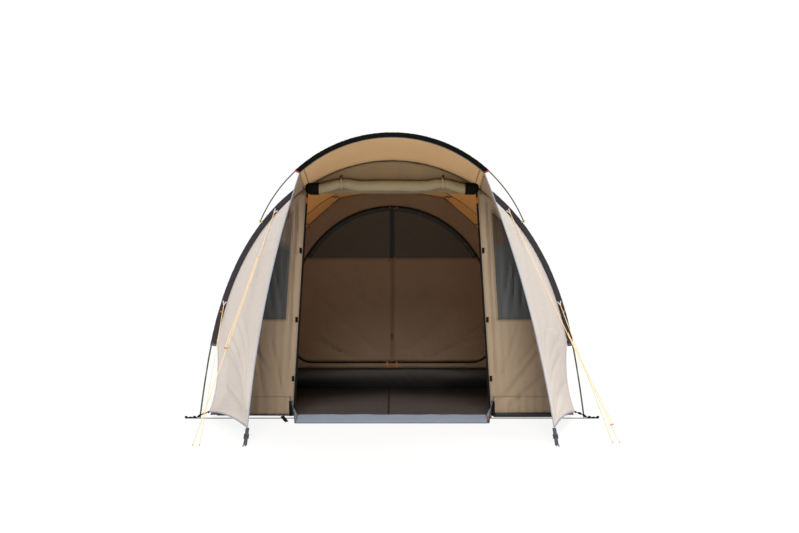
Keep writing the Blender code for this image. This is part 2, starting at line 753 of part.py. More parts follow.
def window_outline(sign, margin):
    """The window's corners and its curved outer side, shrunk by margin on every side."""
    foot, top = WINDOW_FOOT + margin, WINDOW_TOP - margin
    beside = WINDOW_BESIDE_DOOR + margin
    inner_foot = Vector((sign * (door_half(foot) + beside), 0, foot))
    inner_top = Vector((sign * (door_half(top) + beside), 0, top - WINDOW_TOP_SLOPE * margin))
    outer = []
    for step in range(HOOP_STEPS - 1, 0, -1):
        height = FRONT.frame(step)[0].z
        share = min(max((height - WINDOW_FOOT) / (WINDOW_TOP - WINDOW_FOOT), 0.0), 1.0)
        inset = WALL_INSET + margin + WINDOW_MARGIN_FOOT + (WINDOW_MARGIN_TOP - WINDOW_MARGIN_FOOT) * share
        outer.append(FRONT.at(sign * step, inset))
    above_foot = [point for point in outer if point.z > foot]
    first = outer[len(outer) - len(above_foot) - 1]
    start = first.lerp(above_foot[0], (foot - first.z) / (above_foot[0].z - first.z))
    side = [start]
    for point in above_foot:
        limit = inner_top.z - WINDOW_TOP_SLOPE * (abs(point.x) - abs(inner_top.x))
        last = side[-1]
        last_limit = inner_top.z - WINDOW_TOP_SLOPE * (abs(last.x) - abs(inner_top.x))
        if point.z < limit:
            side.append(point)
            continue
        share = (last_limit - last.z) / ((point.z - limit) + (last_limit - last.z))
        side.append(last.lerp(point, share))
        break
    return [inner_foot, *side, inner_top]


def build_front_wall():
    """Header, two side panels with windows, door zips and the rolled-up door."""
    back = Vector((0, CLOTH, 0))
    forward = Vector((0, -CLOTH / 2, 0))
    seam = {sign: hoop_edge(FRONT, WALL_INSET, HEM_HEIGHT, sign) for sign in (-1, 1)}
    for side, sign in SIDES.items():
        outer = cut_at_height(seam[sign], DOOR_TOP)
        door_edge = [
            Vector((sign * door_half(DOOR_TOP), 0, DOOR_TOP)),
            Vector((sign * door_half(outer[0].z), 0, outer[0].z)),
        ]
        outline = [point + forward for point in [*outer, *door_edge]]
        panel = plate(f"front_wall_{side}", outline, back, POLYCOTTON_TAUPE)
        window = window_outline(sign, 0.0)
        cutter = prism_cutter(f"cutter_window_{side}", [[p - back * 4 for p in window]], back * 8)
        boolean(panel, cutter, "DIFFERENCE")
        film = [point + forward for point in window_outline(sign, SEAM_GAP)]
        plate(f"window_{side}", film, back, WINDOW_FILM)
    lifted = DOOR_TOP + SEAM_GAP
    right = [cut_at_height(seam[1], lifted)[-1], *(p for p in seam[1] if p.z > lifted)]
    left = [Vector((-p.x, 0, p.z)) for p in reversed(right[:-1])]
    plate("front_wall_header", [p + forward for p in [*right, *left]], back, POLYCOTTON_TAUPE)
    for side, sign in SIDES.items():
        door_zip(side, sign)
    door_roll()


def door_roll():
    """The door, rolled up and tied under the header: full between its ties and sagging at its ends."""
    rings, sides = 14, 10
    axis_y = -(CLOTH / 2 + SEAM_GAP + ROLL_RADIUS)

    def point(row, column):
        share = 2 * row / rings - 1
        from_tie = (abs(share) * ROLL_HALF_LENGTH - (ROLL_HALF_LENGTH - ROLL_TIE_INSIDE)) / ROLL_TIE_REACH
        pinch = 1 - ROLL_PINCH * math.exp(-(from_tie**2))
        radius = ROLL_RADIUS * (1 - ROLL_TAPER * (1 - math.cos(math.pi / 2 * share))) * pinch
        turn = 2 * math.pi * column / sides
        return Vector((
            ROLL_HALF_LENGTH * share,
            axis_y + radius * math.cos(turn),
            DOOR_TOP + ROLL_ABOVE_DOOR - ROLL_END_DROP * share * share + radius * math.sin(turn),
        ))

    bm = woven_grid(rings, sides, point, close_columns=True)
    cap_ends(bm)
    add_object("door_roll", bm, POLYCOTTON_TAUPE)


def zip_section(offset=0.0):
    """Points (across, out) of a zip tape with its raised coil, as seen along the zip."""
    half, coil = ZIP_TAPE / 2, COIL_WIDTH / 2
    raised = ZIP_THICKNESS + COIL_HEIGHT
    return [
        (-half, 0),
        (-half, ZIP_THICKNESS),
        (-coil, ZIP_THICKNESS),
        (-coil + 0.0006, raised),
        (coil - 0.0006, raised),
        (coil, ZIP_THICKNESS),
        (half, ZIP_THICKNESS),
        (half, 0),
    ]


def zip_run(name, start, end, across, out):
    """A straight length of zip between two points on the middle of its back."""
    outline = [start + across * a + out * b for a, b in zip_section()]
    return plate(name, outline, end - start, ZIP_BLACK)


def slider_section():
    """Points (across, out) of a slider that straddles the coil."""
    half = SLIDER_WIDTH / 2
    groove = COIL_WIDTH / 2 + RUNNING_GAP
    foot = ZIP_THICKNESS + RUNNING_GAP
    ceiling = ZIP_THICKNESS + COIL_HEIGHT + RUNNING_GAP
    roof = ceiling + SLIDER_ROOF
    return [(-half, foot), (-half, roof), (half, roof), (half, foot), (groove, foot), (groove, ceiling),
            (-groove, ceiling), (-groove, foot)]


def slider_face():
    """Height of a slider's face above the back of the zip."""
    return ZIP_THICKNESS + COIL_HEIGHT + RUNNING_GAP + SLIDER_ROOF


def zip_slider(name, place, along, across, out):
    """A slider on a zip whose back passes through place, with a bridge on its face."""
    start = place - along * (SLIDER_LENGTH / 2)
    outline = [start + across * a + out * b for a, b in slider_section()]
    body = plate(name, outline, along * SLIDER_LENGTH, PLASTIC_BLACK)
    middle = place + out * (slider_face() + BRIDGE_INSIDE)
    down = Vector((0, 0, -1))
    aside = down.cross(out)
    ring = []
    for size in (BRIDGE_OUTSIDE, BRIDGE_INSIDE):
        root = -BRIDGE_INSIDE - (0.0005 if size == BRIDGE_OUTSIDE else 0.0)
        ring.append([(-size, root), (-size, size), (size, size), (size, root)])
    outer, inner = ring
    inner = [(a, b - (0.0005 if b < 0 else 0)) for a, b in inner]
    arch = [middle + down * a + out * b - aside * (BRIDGE_WIDTH / 2) for a, b in [*outer, *reversed(inner)]]
    bridge = plate(f"cutter_bridge_{name}", arch, aside * BRIDGE_WIDTH, PLASTIC_BLACK)
    bridge.hide_render = True
    bridge.display_type = "WIRE"
    boolean(body, bridge, "UNION")
    return middle


def pull_tab(name, axle, out):
    """A flat pull that hangs from a slider's bridge, with the bridge through its hole."""
    down = Vector((0, 0, -1))
    aside = down.cross(out)
    half = PULL_WIDTH / 2
    hole = BRIDGE_WIDTH / 2 + RUNNING_GAP
    back = out * -PULL_BAR
    outline = [(-half, -PULL_BAR), (half, -PULL_BAR), (half, PULL_LENGTH - 0.003), (half - 0.003, PULL_LENGTH),
               (0.003 - half, PULL_LENGTH), (-half, PULL_LENGTH - 0.003)]
    points = [axle + aside * a + down * b + back for a, b in outline]
    tab = plate(name, points, out * (2 * PULL_BAR), ORANGE)
    window = [(-hole, PULL_BAR), (hole, PULL_BAR), (hole, PULL_HOLE), (-hole, PULL_HOLE)]
    cut = [axle + aside * a + down * b + back * 3 for a, b in window]
    boolean(tab, prism_cutter(f"cutter_{name}", [cut], out * (6 * PULL_BAR)), "DIFFERENCE")
    return tab


def door_zip(side, sign):
    """The half zip down the side of the doorway, with its slider parked at the top."""
    middle = CLOTH / 2
    edge_gap = ZIP_TAPE / 2 + 2 * SEAM_GAP
    high = DOOR_TOP - 2 * SEAM_GAP
    top = Vector((sign * (door_half(high) - edge_gap), middle, high))
    foot = Vector((sign * (door_half(HEM_HEIGHT) - edge_gap), middle, HEM_HEIGHT))
    along = (foot - top).normalized()
    out = Vector((0, -1, 0))
    across = out.cross(along)
    zip_run(f"door_zip_{side}", top, foot, across, out)
    place = top + along * SLIDER_TOP_STOP
    axle = zip_slider(f"door_slider_{side}", place, along, across, out)
    pull_tab(f"door_pull_{side}", axle, out)


def build_floor():
    """The groundsheet with its front lip, and the straps that hold the feet of the hoops."""
    lip_rows = [(-LIP_FORWARD, 0.0), (-LIP_FORWARD / 2, LIP_RIDGE * 0.55), (LIP_RIDGE_Y, LIP_RIDGE),
                (LIP_BACK / 2, LIP_RIDGE * 0.35), (LIP_BACK, 0.0)]
    rear_edge = MIDDLE_HOOP_Y - STRAP_WIDTH / 2 - SEAM_GAP
    wide_rows = [(LIP_BACK + 0.02, 0.0), (rear_edge, 0.0)]
    rows = lip_rows + wide_rows
    lip_half = DOOR_HALF_FOOT - LIP_INSIDE_DOOR
    floor_half = HOOP_HALF_WIDTH - FLOOR_INSIDE_FOOT
    half_widths = [lip_half] * len(lip_rows) + [floor_half] * len(wide_rows)

    def point(row, column):
        y, height = rows[row]
        return Vector((half_widths[row] * (column - 1), y, FLOOR_THICKNESS / 2 + height))

    cloth_sheet("groundsheet", len(rows) - 1, 2, point, GROUND_SHEET, FLOOR_THICKNESS)
    for name, hoop in HOOPS.items():
        base_strap(f"{name}_base_strap", hoop)


def base_strap(name, hoop):
    """A flat webbing strap with an eyelet under each pole foot and a peg slot at each end."""
    foot = hoop.frame(HOOP_STEPS)[0].x
    outside = foot + STRAP_BEYOND_FOOT
    outline = rectangle((0, hoop.y, 0), outside, STRAP_WIDTH / 2)
    strap = plate(name, outline, (0, 0, STRAP_THICKNESS), WEBBING_BLACK)
    cuts = []
    for sign in SIDES.values():
        cuts.append(circle((sign * foot, hoop.y, -STRAP_THICKNESS), POLE_RADIUS + EYELET_GAP, 12))
        slot = sign * (outside - PEG_SLOT_EDGE - PEG_SLOT_LENGTH / 2)
        cuts.append(rectangle((slot, hoop.y, -STRAP_THICKNESS), PEG_SLOT_LENGTH / 2, PEG_SLOT_WIDTH / 2))
    boolean(strap, prism_cutter(f"cutter_{name}", cuts, (0, 0, 3 * STRAP_THICKNESS)), "DIFFERENCE")


def guy_anchor(sign, height):
    """Where a guy line leaves its strap on the front sleeve, with the frame of the sleeve there."""
    step = sign * FRONT.step_at_height(height)
    place, along, outward = FRONT.chord_frame(step)
    down = along * sign
    return place, outward, down


def on_sleeve(frame, inset, fall, lift):
    """A point on the front flank of the sleeve: inset from the pole, down along it and lifted off."""
    place, outward, down = frame
    flank = sleeve_half(inset) + SEAM_GAP
    return place - outward * inset + down * fall + Vector((0, -flank - lift, 0))


def guy_strap(name, frame):
    """A V of tape sewn across the sleeve, whose point holds the guy line."""
    wide = GUY_STRAP_WIDTH
    inner, outer = SEAM_INSET - 2 * CLOTH, 0.0
    middle = (inner + outer) / 2
    outline = [(outer, 0), (outer + wide, 0), (middle, GUY_DROP - wide), (inner - wide, 0), (inner, 0),
               (middle + wide / 2, GUY_DROP), (middle - wide / 2, GUY_DROP)]
    points = [on_sleeve(frame, inset, fall, 0.0) for inset, fall in outline]
    plate(name, points, (0, -SLEEVE_WALL, 0), WEBBING_WHITE)
    return on_sleeve(frame, middle, GUY_DROP - wide / 2, SLEEVE_WALL)


def cord(name, points, finish=GUY_ORANGE):
    """A taut cord through a few points."""
    along = (points[-1] - points[0]).normalized()
    first = along.cross(Vector((0, 0, 1))).normalized()
    second = along.cross(first)
    frames = [(point, first, second) for point in points]
    return rod(name, frames, GUY_RADIUS, finish)


def runner(name, place, along, aside):
    """A plastic runner across the cord: the cord slides in one hole, its end is held in the other."""
    thick = along * RUNNER_THICKNESS
    wide = along.cross(aside).normalized()
    near, far = -RUNNER_WIDTH / 2, RUNNER_HOLE_SPACING + RUNNER_WIDTH / 2
    chamfer = 0.003
    outline = [(near + chamfer, -1), (far - chamfer, -1), (far, -0.45), (far, 0.45), (far - chamfer, 1),
               (near + chamfer, 1), (near, 0.45), (near, -0.45)]
    points = [place + aside * a + wide * (b * RUNNER_WIDTH / 2) for a, b in outline]
    body = plate(name, points, thick, ORANGE)
    holes = [circle(place - thick + aside * at, GUY_RADIUS + RUNNING_GAP, 10, aside, wide)
             for at in (0, RUNNER_HOLE_SPACING)]
    boolean(body, prism_cutter(f"cutter_{name}", holes, thick * 3), "DIFFERENCE")


def build_guys():
    """Two guy lines a side, run to pegs beside the wing, with a doubled strand and a runner."""
    for side, sign in SIDES.items():
        peg = Vector((sign * PEG_OUT[side], -PEG_FORWARD[side], GUY_RADIUS))
        for level, height in (("upper", GUY_UPPER_HEIGHT), ("lower", GUY_LOWER_HEIGHT)):
            frame = guy_anchor(sign, height)
            tied = guy_strap(f"guy_strap_{level}_{side}", frame)
            end = peg if level == "upper" else peg + Vector((-sign * PEG_GAP, 0, 0))
            along = (end - tied).normalized()
            clear = GUY_RADIUS * math.sqrt(max(1 - along.y**2, 0)) + SEAM_GAP
            start = tied + Vector((0, -clear, 0))
            cord(f"guy_{level}_{side}", [start, start.lerp(end, 0.5), end])
            aside = (Vector((sign, 0, 0)) - along * along.x * sign).normalized()
            share = RUNNER_AT[side] if level == "upper" else LOWER_RUNNER_AT
            low = start.lerp(end, share)
            runner(f"guy_runner_{level}_{side}", low, along, aside)
            if level == "upper":
                doubled_strand(side, start.lerp(end, RING_AT[side]), low, along, aside)


def doubled_strand(side, high, low, along, aside):
    """The strand that runs back up from the runner beside the guy line."""
    foot = low + aside * RUNNER_HOLE_SPACING - along * SEAM_GAP
    head = high + aside * RETURN_AT_RING
    cord(f"guy_return_{side}", [head, head.lerp(foot, 0.5), foot])


INNER_Y = MIDDLE_HOOP_Y + STRAP_WIDTH / 2 + SEAM_GAP
INNER_HUNG = WALL_INSET + INNER_INSET


def inner_steps(hoop):
    """Steps of an inner section, with its ends at the top of the bathtub floor."""
    end = hoop.step_at_height(BATHTUB_HEIGHT)
    whole = HOOP_STEPS - 2
    return [end * step / whole for step in range(-whole, whole + 1)]


def inner_section(hoop, row, y):
    """A point of the inner tent's outline at a hoop."""
    steps = inner_steps(hoop)
    place = hoop.at(steps[row], INNER_HUNG)
    height = max(place.z, BATHTUB_HEIGHT) if row not in (0, len(steps) - 1) else BATHTUB_HEIGHT
    return Vector((place.x, y, height))


INNER_SPANS = 3
INNER_BACK_SPANS = 3


def inner_surface(row, column):
    """The inner tent from its front seam over the rear hoop and down to the back of its floor."""
    rear_y = REAR_HOOP_Y - INNER_INSET
    wall_y = INNER_Y + CLOTH + SEAM_GAP
    if column <= INNER_SPANS:
        front = inner_section(MIDDLE, row, wall_y)
        back = inner_section(REAR, row, rear_y)
        return front.lerp(back, column / INNER_SPANS)
    start = inner_section(REAR, row, rear_y)
    step = inner_steps(REAR)[row] * HOOP_STEPS / REAR.step_at_height(BATHTUB_HEIGHT)
    half = abs(inner_section(REAR, 0, rear_y).x)
    foot = rear_ground(step, REAR, half, INNER_BACK, BATHTUB_HEIGHT)
    foot.y -= INNER_INSET
    return start.lerp(foot, (column - INNER_SPANS) / INNER_BACK_SPANS)


def d_outline(margin):
    """The inner door's outline, shrunk by margin: flat foot, round corners and a wide arch."""
    half = DOOR_ZIP_HALF - margin
    foot = DOOR_ZIP_FOOT + margin
    top = DOOR_ZIP_TOP - margin
    corner = DOOR_ZIP_CORNER - margin
    points = []
    for step in range(CORNER_STEPS + 1):
        turn = math.pi / 2 * step / CORNER_STEPS
        points.append((half - corner + corner * math.sin(turn), foot + corner - corner * math.cos(turn)))
    for step in range(ARCH_STEPS):
        turn = math.pi / 2 * step / ARCH_STEPS
        points.append((half * math.cos(turn), DOOR_ZIP_SHOULDER + (top - DOOR_ZIP_SHOULDER) * math.sin(turn)))
    return points, (0.0, top)


def build_inner_tent():
    """Roof, front wall, bathtub floor, the two door leaves and their zips."""
    rows = len(inner_steps(MIDDLE)) - 1
    columns = INNER_SPANS + INNER_BACK_SPANS
    lift = Vector((0, 0, SEAM_GAP))
    cloth_sheet("inner_roof", rows, columns, lambda r, c: inner_surface(r, c) + lift, INNER_BROWN)
    bathtub_floor(rows, columns)
    back = Vector((0, CLOTH, 0))
    crown = [inner_section(MIDDLE, row, INNER_Y) + lift for row in range(rows + 1)]
    wall = plate("inner_front_wall", crown, back, INNER_BROWN)
    right, top = d_outline(-ZIP_TAPE / 2 - SEAM_GAP)
    hole = mirrored(right, top, INNER_Y - CLOTH)
    boolean(wall, prism_cutter("cutter_inner_door", [hole], back * 3), "DIFFERENCE")
    inner_zips()
    for side, sign in SIDES.items():
        right, top = d_outline(ZIP_TAPE / 2 + SEAM_GAP)
        split = ZIP_TAPE / 2 + SEAM_GAP
        last_x, last_z = right[-1]
        peak = top[1] + (last_z - top[1]) * split / last_x
        outline = [(split, right[0][1]), *right, (split, peak)]
        points = [Vector((sign * x, INNER_Y, z)) for x, z in outline]
        plate(f"inner_leaf_{side}", points, back, INNER_BROWN)


def mirrored(right, top, y):
    """A closed outline from its right half and its top point."""
    left = [(-x, z) for x, z in reversed(right)]
    return [Vector((x, y, z)) for x, z in [*right, top, *left]]


def bathtub_floor(rows, columns):
    """The inner tent's floor: a flat sheet with its sides turned up."""
    left = [inner_surface(0, column) for column in range(columns + 1)]
    back = [inner_surface(row, columns) for row in range(1, rows)]
    right = [inner_surface(rows, column) for column in range(columns, -1, -1)]
    level = STRAP_THICKNESS + SEAM_GAP + FLOOR_THICKNESS / 2
    outline = [Vector((p.x, max(p.y, INNER_Y + CLOTH / 2), level)) for p in [*left, *back, *right]]
    outline[0].y = outline[-1].y = INNER_Y + CLOTH / 2
    bm = bmesh.new()
    face = bm.faces.new([bm.verts.new(point) for point in outline])
    walls = bmesh.ops.extrude_edge_only(bm, edges=list(face.edges))
    raised = [item for item in walls["geom"] if isinstance(item, bmesh.types.BMVert)]
    bmesh.ops.translate(bm, verts=raised, vec=(0, 0, BATHTUB_HEIGHT - level))
    floor = add_object("inner_floor", bm, BATHTUB)
    solid = floor.modifiers.new("Thickness", "SOLIDIFY")
    solid.thickness = FLOOR_THICKNESS
    solid.offset = 0.0


def inner_zips():
    """The zip round the inner door, the zip down its middle, and their sliders."""
    right, top = d_outline(0.0)
    path = mirrored(right, top, INNER_Y + CLOTH)
    count = len(path)
    section = zip_section()
    out = Vector((0, -1, 0))

    def point(row, column):
        before, here, after = path[row - 1], path[row], path[(row + 1) % count]
        first = (here - before).normalized()
        second = (after - here).normalized()
        along = (first + second).normalized()
        across = out.cross(along)
        spread = 1 / max(along.dot(first), 0.5)
        a, b = section[column]
        return here + across * (a * spread) + out * b

    bm = woven_grid(count, len(section), point, close_rows=True, close_columns=True)
    add_object("inner_door_zip", bm, ZIP_BLACK)
    margin = ZIP_TAPE / 2 + SEAM_GAP
    foot = Vector((0, INNER_Y + CLOTH, DOOR_ZIP_FOOT + margin))
    head = Vector((0, INNER_Y + CLOTH, DOOR_ZIP_TOP - margin - SEAM_GAP * 2))
    up = Vector((0, 0, 1))
    zip_run("inner_centre_zip", foot, head, Vector((1, 0, 0)), out)
    place = Vector((0, INNER_Y + CLOTH, DOOR_ZIP_FOOT + CENTRE_SLIDER_ABOVE_FOOT))
    slider_with_tag("inner_centre_slider", place, up, out, Vector((0, 0, -1)))
    for side, sign in SIDES.items():
        place = Vector((sign * INNER_SLIDER_OUT, INNER_Y + CLOTH, DOOR_ZIP_FOOT))
        slider_with_tag(f"inner_slider_{side}", place, Vector((1, 0, 0)), out, Vector((0, 0, -1)))


def slider_with_tag(name, place, along, out, down):
    """A small slider with its soft tag fixed to its face."""
    across = out.cross(along)
    start = place - along * (SLIDER_LENGTH / 2)
    outline = [start + across * a + out * b for a, b in slider_section()]
    body = plate(name, outline, along * SLIDER_LENGTH, ORANGE)
    wide = down.cross(out) * (PULL_WIDTH / 2)
    level = place + out * (slider_face() - 0.0003)
    tag = [level - wide, level + wide, level + wide + down * PULL_LENGTH, level - wide + down * PULL_LENGTH]
    cutter = plate(f"cutter_tag_{name}", tag, out * 0.002, ORANGE)
    cutter.hide_render = True
    cutter.display_type = "WIRE"
    boolean(body, cutter, "UNION")


def build_tent():
    """Clears the scene and builds the whole tent."""
    for old in list(bpy.data.objects):
        bpy.data.objects.remove(old)
    build_hoops()
    build_brow()
    build_roof()
    build_wings()
    build_front_wall()
    build_floor()
    build_guys()
    build_inner_tent()


build_tent()
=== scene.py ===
"""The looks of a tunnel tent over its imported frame: cloth, trim, cords, ground and light.

Metres, +Z up, the viewer at -Y. The sizes are those of the tent's CAD source. Each sheet is sewn
again here along the same curves, finer and with its folds, so it lies where its solid does.
"""

import json
import logging
import math
from collections.abc import Callable, Iterable, Sequence
from dataclasses import dataclass, replace
from enum import Enum

import bmesh
import bpy
import numpy as np
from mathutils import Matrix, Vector, noise

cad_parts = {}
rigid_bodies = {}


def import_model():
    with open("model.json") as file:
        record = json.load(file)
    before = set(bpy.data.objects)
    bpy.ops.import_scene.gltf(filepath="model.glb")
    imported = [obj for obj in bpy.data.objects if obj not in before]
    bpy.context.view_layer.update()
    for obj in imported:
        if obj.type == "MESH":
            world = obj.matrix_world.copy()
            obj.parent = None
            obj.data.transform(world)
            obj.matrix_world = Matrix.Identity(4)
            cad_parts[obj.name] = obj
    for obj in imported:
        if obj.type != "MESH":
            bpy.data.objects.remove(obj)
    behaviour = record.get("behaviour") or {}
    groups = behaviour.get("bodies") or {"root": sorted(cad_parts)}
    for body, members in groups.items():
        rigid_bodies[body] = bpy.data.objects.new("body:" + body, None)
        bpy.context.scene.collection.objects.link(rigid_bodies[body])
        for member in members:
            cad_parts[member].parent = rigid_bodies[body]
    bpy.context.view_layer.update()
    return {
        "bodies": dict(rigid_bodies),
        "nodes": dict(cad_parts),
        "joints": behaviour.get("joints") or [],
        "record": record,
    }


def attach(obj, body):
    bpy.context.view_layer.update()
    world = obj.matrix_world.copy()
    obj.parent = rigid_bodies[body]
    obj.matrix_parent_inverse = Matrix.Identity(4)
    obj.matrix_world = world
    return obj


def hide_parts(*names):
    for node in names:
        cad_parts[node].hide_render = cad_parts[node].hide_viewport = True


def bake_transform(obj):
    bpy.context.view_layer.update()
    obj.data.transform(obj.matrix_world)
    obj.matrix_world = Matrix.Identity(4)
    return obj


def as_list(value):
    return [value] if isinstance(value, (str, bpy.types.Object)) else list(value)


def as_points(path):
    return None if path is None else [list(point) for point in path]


LOG = logging.getLogger("tent")
Pair = tuple[float, float]
Line = Sequence[Vector]
Frame = tuple[Vector, Vector, Vector]
Surface = Callable[[float, float], Vector]
Drape = Callable[[Vector], Vector]
Colour = tuple[int, int, int]
Piece = bpy.types.Object
Mesh = bmesh.types.BMesh
Node = bpy.types.Node
Socket = bpy.types.NodeSocket
Tree = bpy.types.NodeTree
UP = Vector((0.0, 0.0, 1.0))
ASIDE = Vector((1.0, 0.0, 0.0))
ACROSS = Vector((0.0, 1.0, 0.0))
FORWARD = Vector((0.0, -1.0, 0.0))
INSIDE = Vector((0.0, 1.5, 0.8))
SHARP = math.radians(40)
TINY = 1e-6
LEAST_FILL = 0.301


class Side(Enum):
    """A side of the tent as the viewer sees it; its value is the sign of X."""

    LEFT = -1
    RIGHT = 1

    @property
    def label(self) -> str:
        """The side's name as the nodes spell it."""
        return self.name.lower()


class Held(Enum):
    """How a sheet is held."""

    STRETCHED = "stretched"
    HUNG = "hung"
    LAID = "laid"
    FOLDED = "folded"


def smooth(low: float, high: float, value: float) -> float:
    """A soft step from 0 at low to 1 at high."""
    share = min(max((value - low) / (high - low), 0.0), 1.0)
    return share * share * (3 - 2 * share)


def inland(share: float, start: float, end: float) -> float:
    """0 at both ends of a share from 0 to 1, and 1 past a stretch at its start and at its end."""
    return smooth(0.0, start, share) * smooth(0.0, end, 1 - share)


def ripple(*place: float) -> float:
    """Smooth noise between about -1 and 1 at up to three coordinates."""
    return noise.noise(Vector((*place, 0.37, 0.61)[:3]))


def linear(colour: Colour) -> tuple[float, float, float, float]:
    """A screen colour of 0 to 255 as the linear colour a shader takes."""
    parts = [value / 255 for value in colour]
    made = [part / 12.92 if part <= 0.04045 else ((part + 0.055) / 1.055) ** 2.4 for part in parts]
    return (*made, 1.0)


@dataclass(frozen=True)
class Pattern:
    """Sizes of the tent, as its CAD source names them."""

    half_width: float = 1.50
    height: float = 2.05
    rear_half_width: float = 1.32
    rear_height: float = 1.60
    middle_y: float = 1.61
    rear_y: float = 3.20
    pole_radius: float = 0.00635
    steps: int = 18
    tail: float = 0.040
    wall: float = 0.0012
    tail_bore: float = 0.0008
    sleeve_end: int = 15
    brow_foot_out: float = 0.021
    brow_foot_height: float = 1.53
    brow_above: float = 0.07
    brow_reach: float = 0.70
    brow_radius: float = 0.00475
    brow_share: float = 0.61
    brow_tail: float = 0.034
    canopy_step: int = 6
    cloth: float = 0.0012
    gap: float = 0.00035
    overlap: float = 0.003
    hem: float = 0.030
    bay_sag: float = 0.022
    canopy_rise: float = 0.030
    rear_back: float = 0.56
    rear_corner_back: float = 0.12
    rear_bulge: float = 0.05
    tip_out: Pair = (0.98, 1.10)
    tip_forward: float = 0.88
    tip_height: float = 0.095
    corner_inside: float = 0.08
    corner_forward: float = 0.03
    corner_height: float = 0.055
    edge_bow: float = 0.12
    wing_sag: float = 0.045
    foot_arch: float = 0.03
    free_rows: int = 6
    fold_depth: float = 0.016
    fold_reach: float = 0.26
    fold_count: int = 3
    door_half_foot: float = 0.775
    door_below_crown: float = 0.295
    door_corner_margin: float = 0.055
    window_foot: float = 0.767
    window_below_door: float = 0.135
    window_beside_door: float = 0.095
    window_slope: float = 0.82
    window_margin_foot: float = 0.078
    window_margin_top: float = 0.046
    roll_radius: float = 0.048
    roll_beside_corner: float = 0.028
    roll_above_door: float = 0.057
    roll_end_drop: float = 0.048
    roll_tie_inside: float = 0.255
    roll_tie_reach: float = 0.045
    roll_pinch: float = 0.14
    roll_taper: float = 0.07
    floor_inside: float = 0.10
    floor_thickness: float = 0.0016
    lip_inside: float = 0.04
    lip_forward: float = 0.21
    lip_ridge: float = 0.028
    lip_back: float = 0.10
    strap_width: float = 0.025
    strap_thickness: float = 0.002
    guy_radius: float = 0.002
    peg_out: Pair = (1.32, 1.53)
    peg_forward: Pair = (1.02, 0.93)
    peg_gap: float = 0.045
    guy_heights: Pair = (1.64, 0.92)
    guy_drop: float = 0.028
    guy_strap_width: float = 0.010
    ring_at: Pair = (0.22, 0.56)
    runner_at: Pair = (0.62, 0.93)
    runner_hole: float = 0.014
    return_at_ring: float = 0.0055
    inner_inset: float = 0.10
    inner_knots: tuple[Pair, ...] = ((0.0, 0.12), (4.55, 0.08), (7.8, 0.115), (10.5, 0.1416))
    bathtub: float = 0.19
    inner_back: float = 0.47
    zip_tape: float = 0.016
    zip_foot: float = 0.247
    zip_below_crown: float = 0.292
    zip_half: float = 0.985
    zip_corner: float = 0.22
    zip_shoulder: float = 0.70

    def of(self, pair: Pair, side: Side) -> float:
        """The value that belongs to a side."""
        return pair[0] if side is Side.LEFT else pair[1]


class Hoop:
    """A springy pole pushed into a hoop: the curve of a slender rod held at its two feet."""

    SAMPLES = 1200

    def __init__(self, half_width: float, height: float, y: float, steps: int) -> None:
        """Finds the bend that brings the feet to their place.

        Args:
            half_width: Distance of a foot from the middle.
            height: Height of the crown.
            y: Place of the hoop along the tent.
            steps: Steps from the crown to a foot.
        """
        self.height = height
        self.y = y
        self.steps = steps
        self.q = np.linspace(0.0, 1.0, self.SAMPLES + 1)
        low, high = 0.3, 1.9
        for _ in range(60):
            self.bend = (low + high) / 2
            self.x = self._half_outline()
            if self.x[-1] > half_width:
                low = self.bend
            else:
                high = self.bend

    def _half_outline(self) -> np.ndarray:
        """Distance from the centre line at each sample.

        Returns:
            The distances.
        """
        cosine = 1 - self.bend * (2 * self.q[1:] ** 2 - self.q[1:] ** 4)
        sine = np.sqrt(np.maximum(1 - cosine**2, 1e-12))
        slope = np.concatenate([[1 / math.sqrt(self.bend)], cosine / sine * 2 * self.q[1:]])
        strips = (slope[1:] + slope[:-1]) / 2 * np.diff(self.q)
        return self.height * np.concatenate([[0.0], np.cumsum(strips)])

    def frame(self, step: float) -> Frame:
        """Place, tangent towards +X and outward normal at a signed step.

        Args:
            step: Steps from the crown, negative to the left.

        Returns:
            The place and the two directions.
        """
        side = -1.0 if step < 0 else 1.0
        q = min(abs(step) / self.steps, 1.0)
        cosine = 1 - self.bend * (2 * q**2 - q**4)
        sine = math.sqrt(max(1 - cosine * cosine, 0.0))
        place = Vector((side * float(np.interp(q, self.q, self.x)), self.y, self.height * (1 - q * q)))
        return place, Vector((cosine, 0, -side * sine)), Vector((side * sine, 0, cosine))

    def at(self, step: float, inset: float = 0.0, forward: float = 0.0) -> Vector:
        """A point inset from the pole's centre line and moved forward of the hoop's plane."""
        place, _, outward = self.frame(step)
        return place - outward * inset + FORWARD * forward

    def chord_frame(self, step: float) -> Frame:
        """The same as frame, but on the straight length between whole steps.

        Args:
            step: Steps from the crown, negative to the left.

        Returns:
            The place, the direction along and the normal.
        """
        side = -1.0 if step < 0 else 1.0
        whole = math.floor(abs(step))
        near, far = self.frame(side * whole)[0], self.frame(side * (whole + 1))[0]
        along = (far - near).normalized() * side
        return near.lerp(far, abs(step) - whole), along, FORWARD.cross(along)

    def step_at_height(self, height: float) -> float:
        """The step on the right-hand side where the pole is at a height."""
        return self.steps * math.sqrt(max(1 - height / self.height, 0.0))

    def width_inside(self, inset: float, height: float) -> float:
        """Half the width inside the hoop at a height, on a line inset from the pole.

        Args:
            inset: Distance inside the pole's centre line.
            height: A height above the ground.

        Returns:
            Half the width.
        """
        low, high = 0.0, float(self.steps)
        for _ in range(40):
            middle = (low + high) / 2
            if self.at(middle, inset).z > height:
                low = middle
            else:
                high = middle
        return self.at(low, inset).x

    def hem_step(self, share: float, hem: float) -> float:
        """The step at a share of the way from hem to hem, the left hem first."""
        end = self.step_at_height(hem)
        known = [-end, *range(1 - self.steps, self.steps), end]
        return float(np.interp(share * (len(known) - 1), range(len(known)), known))


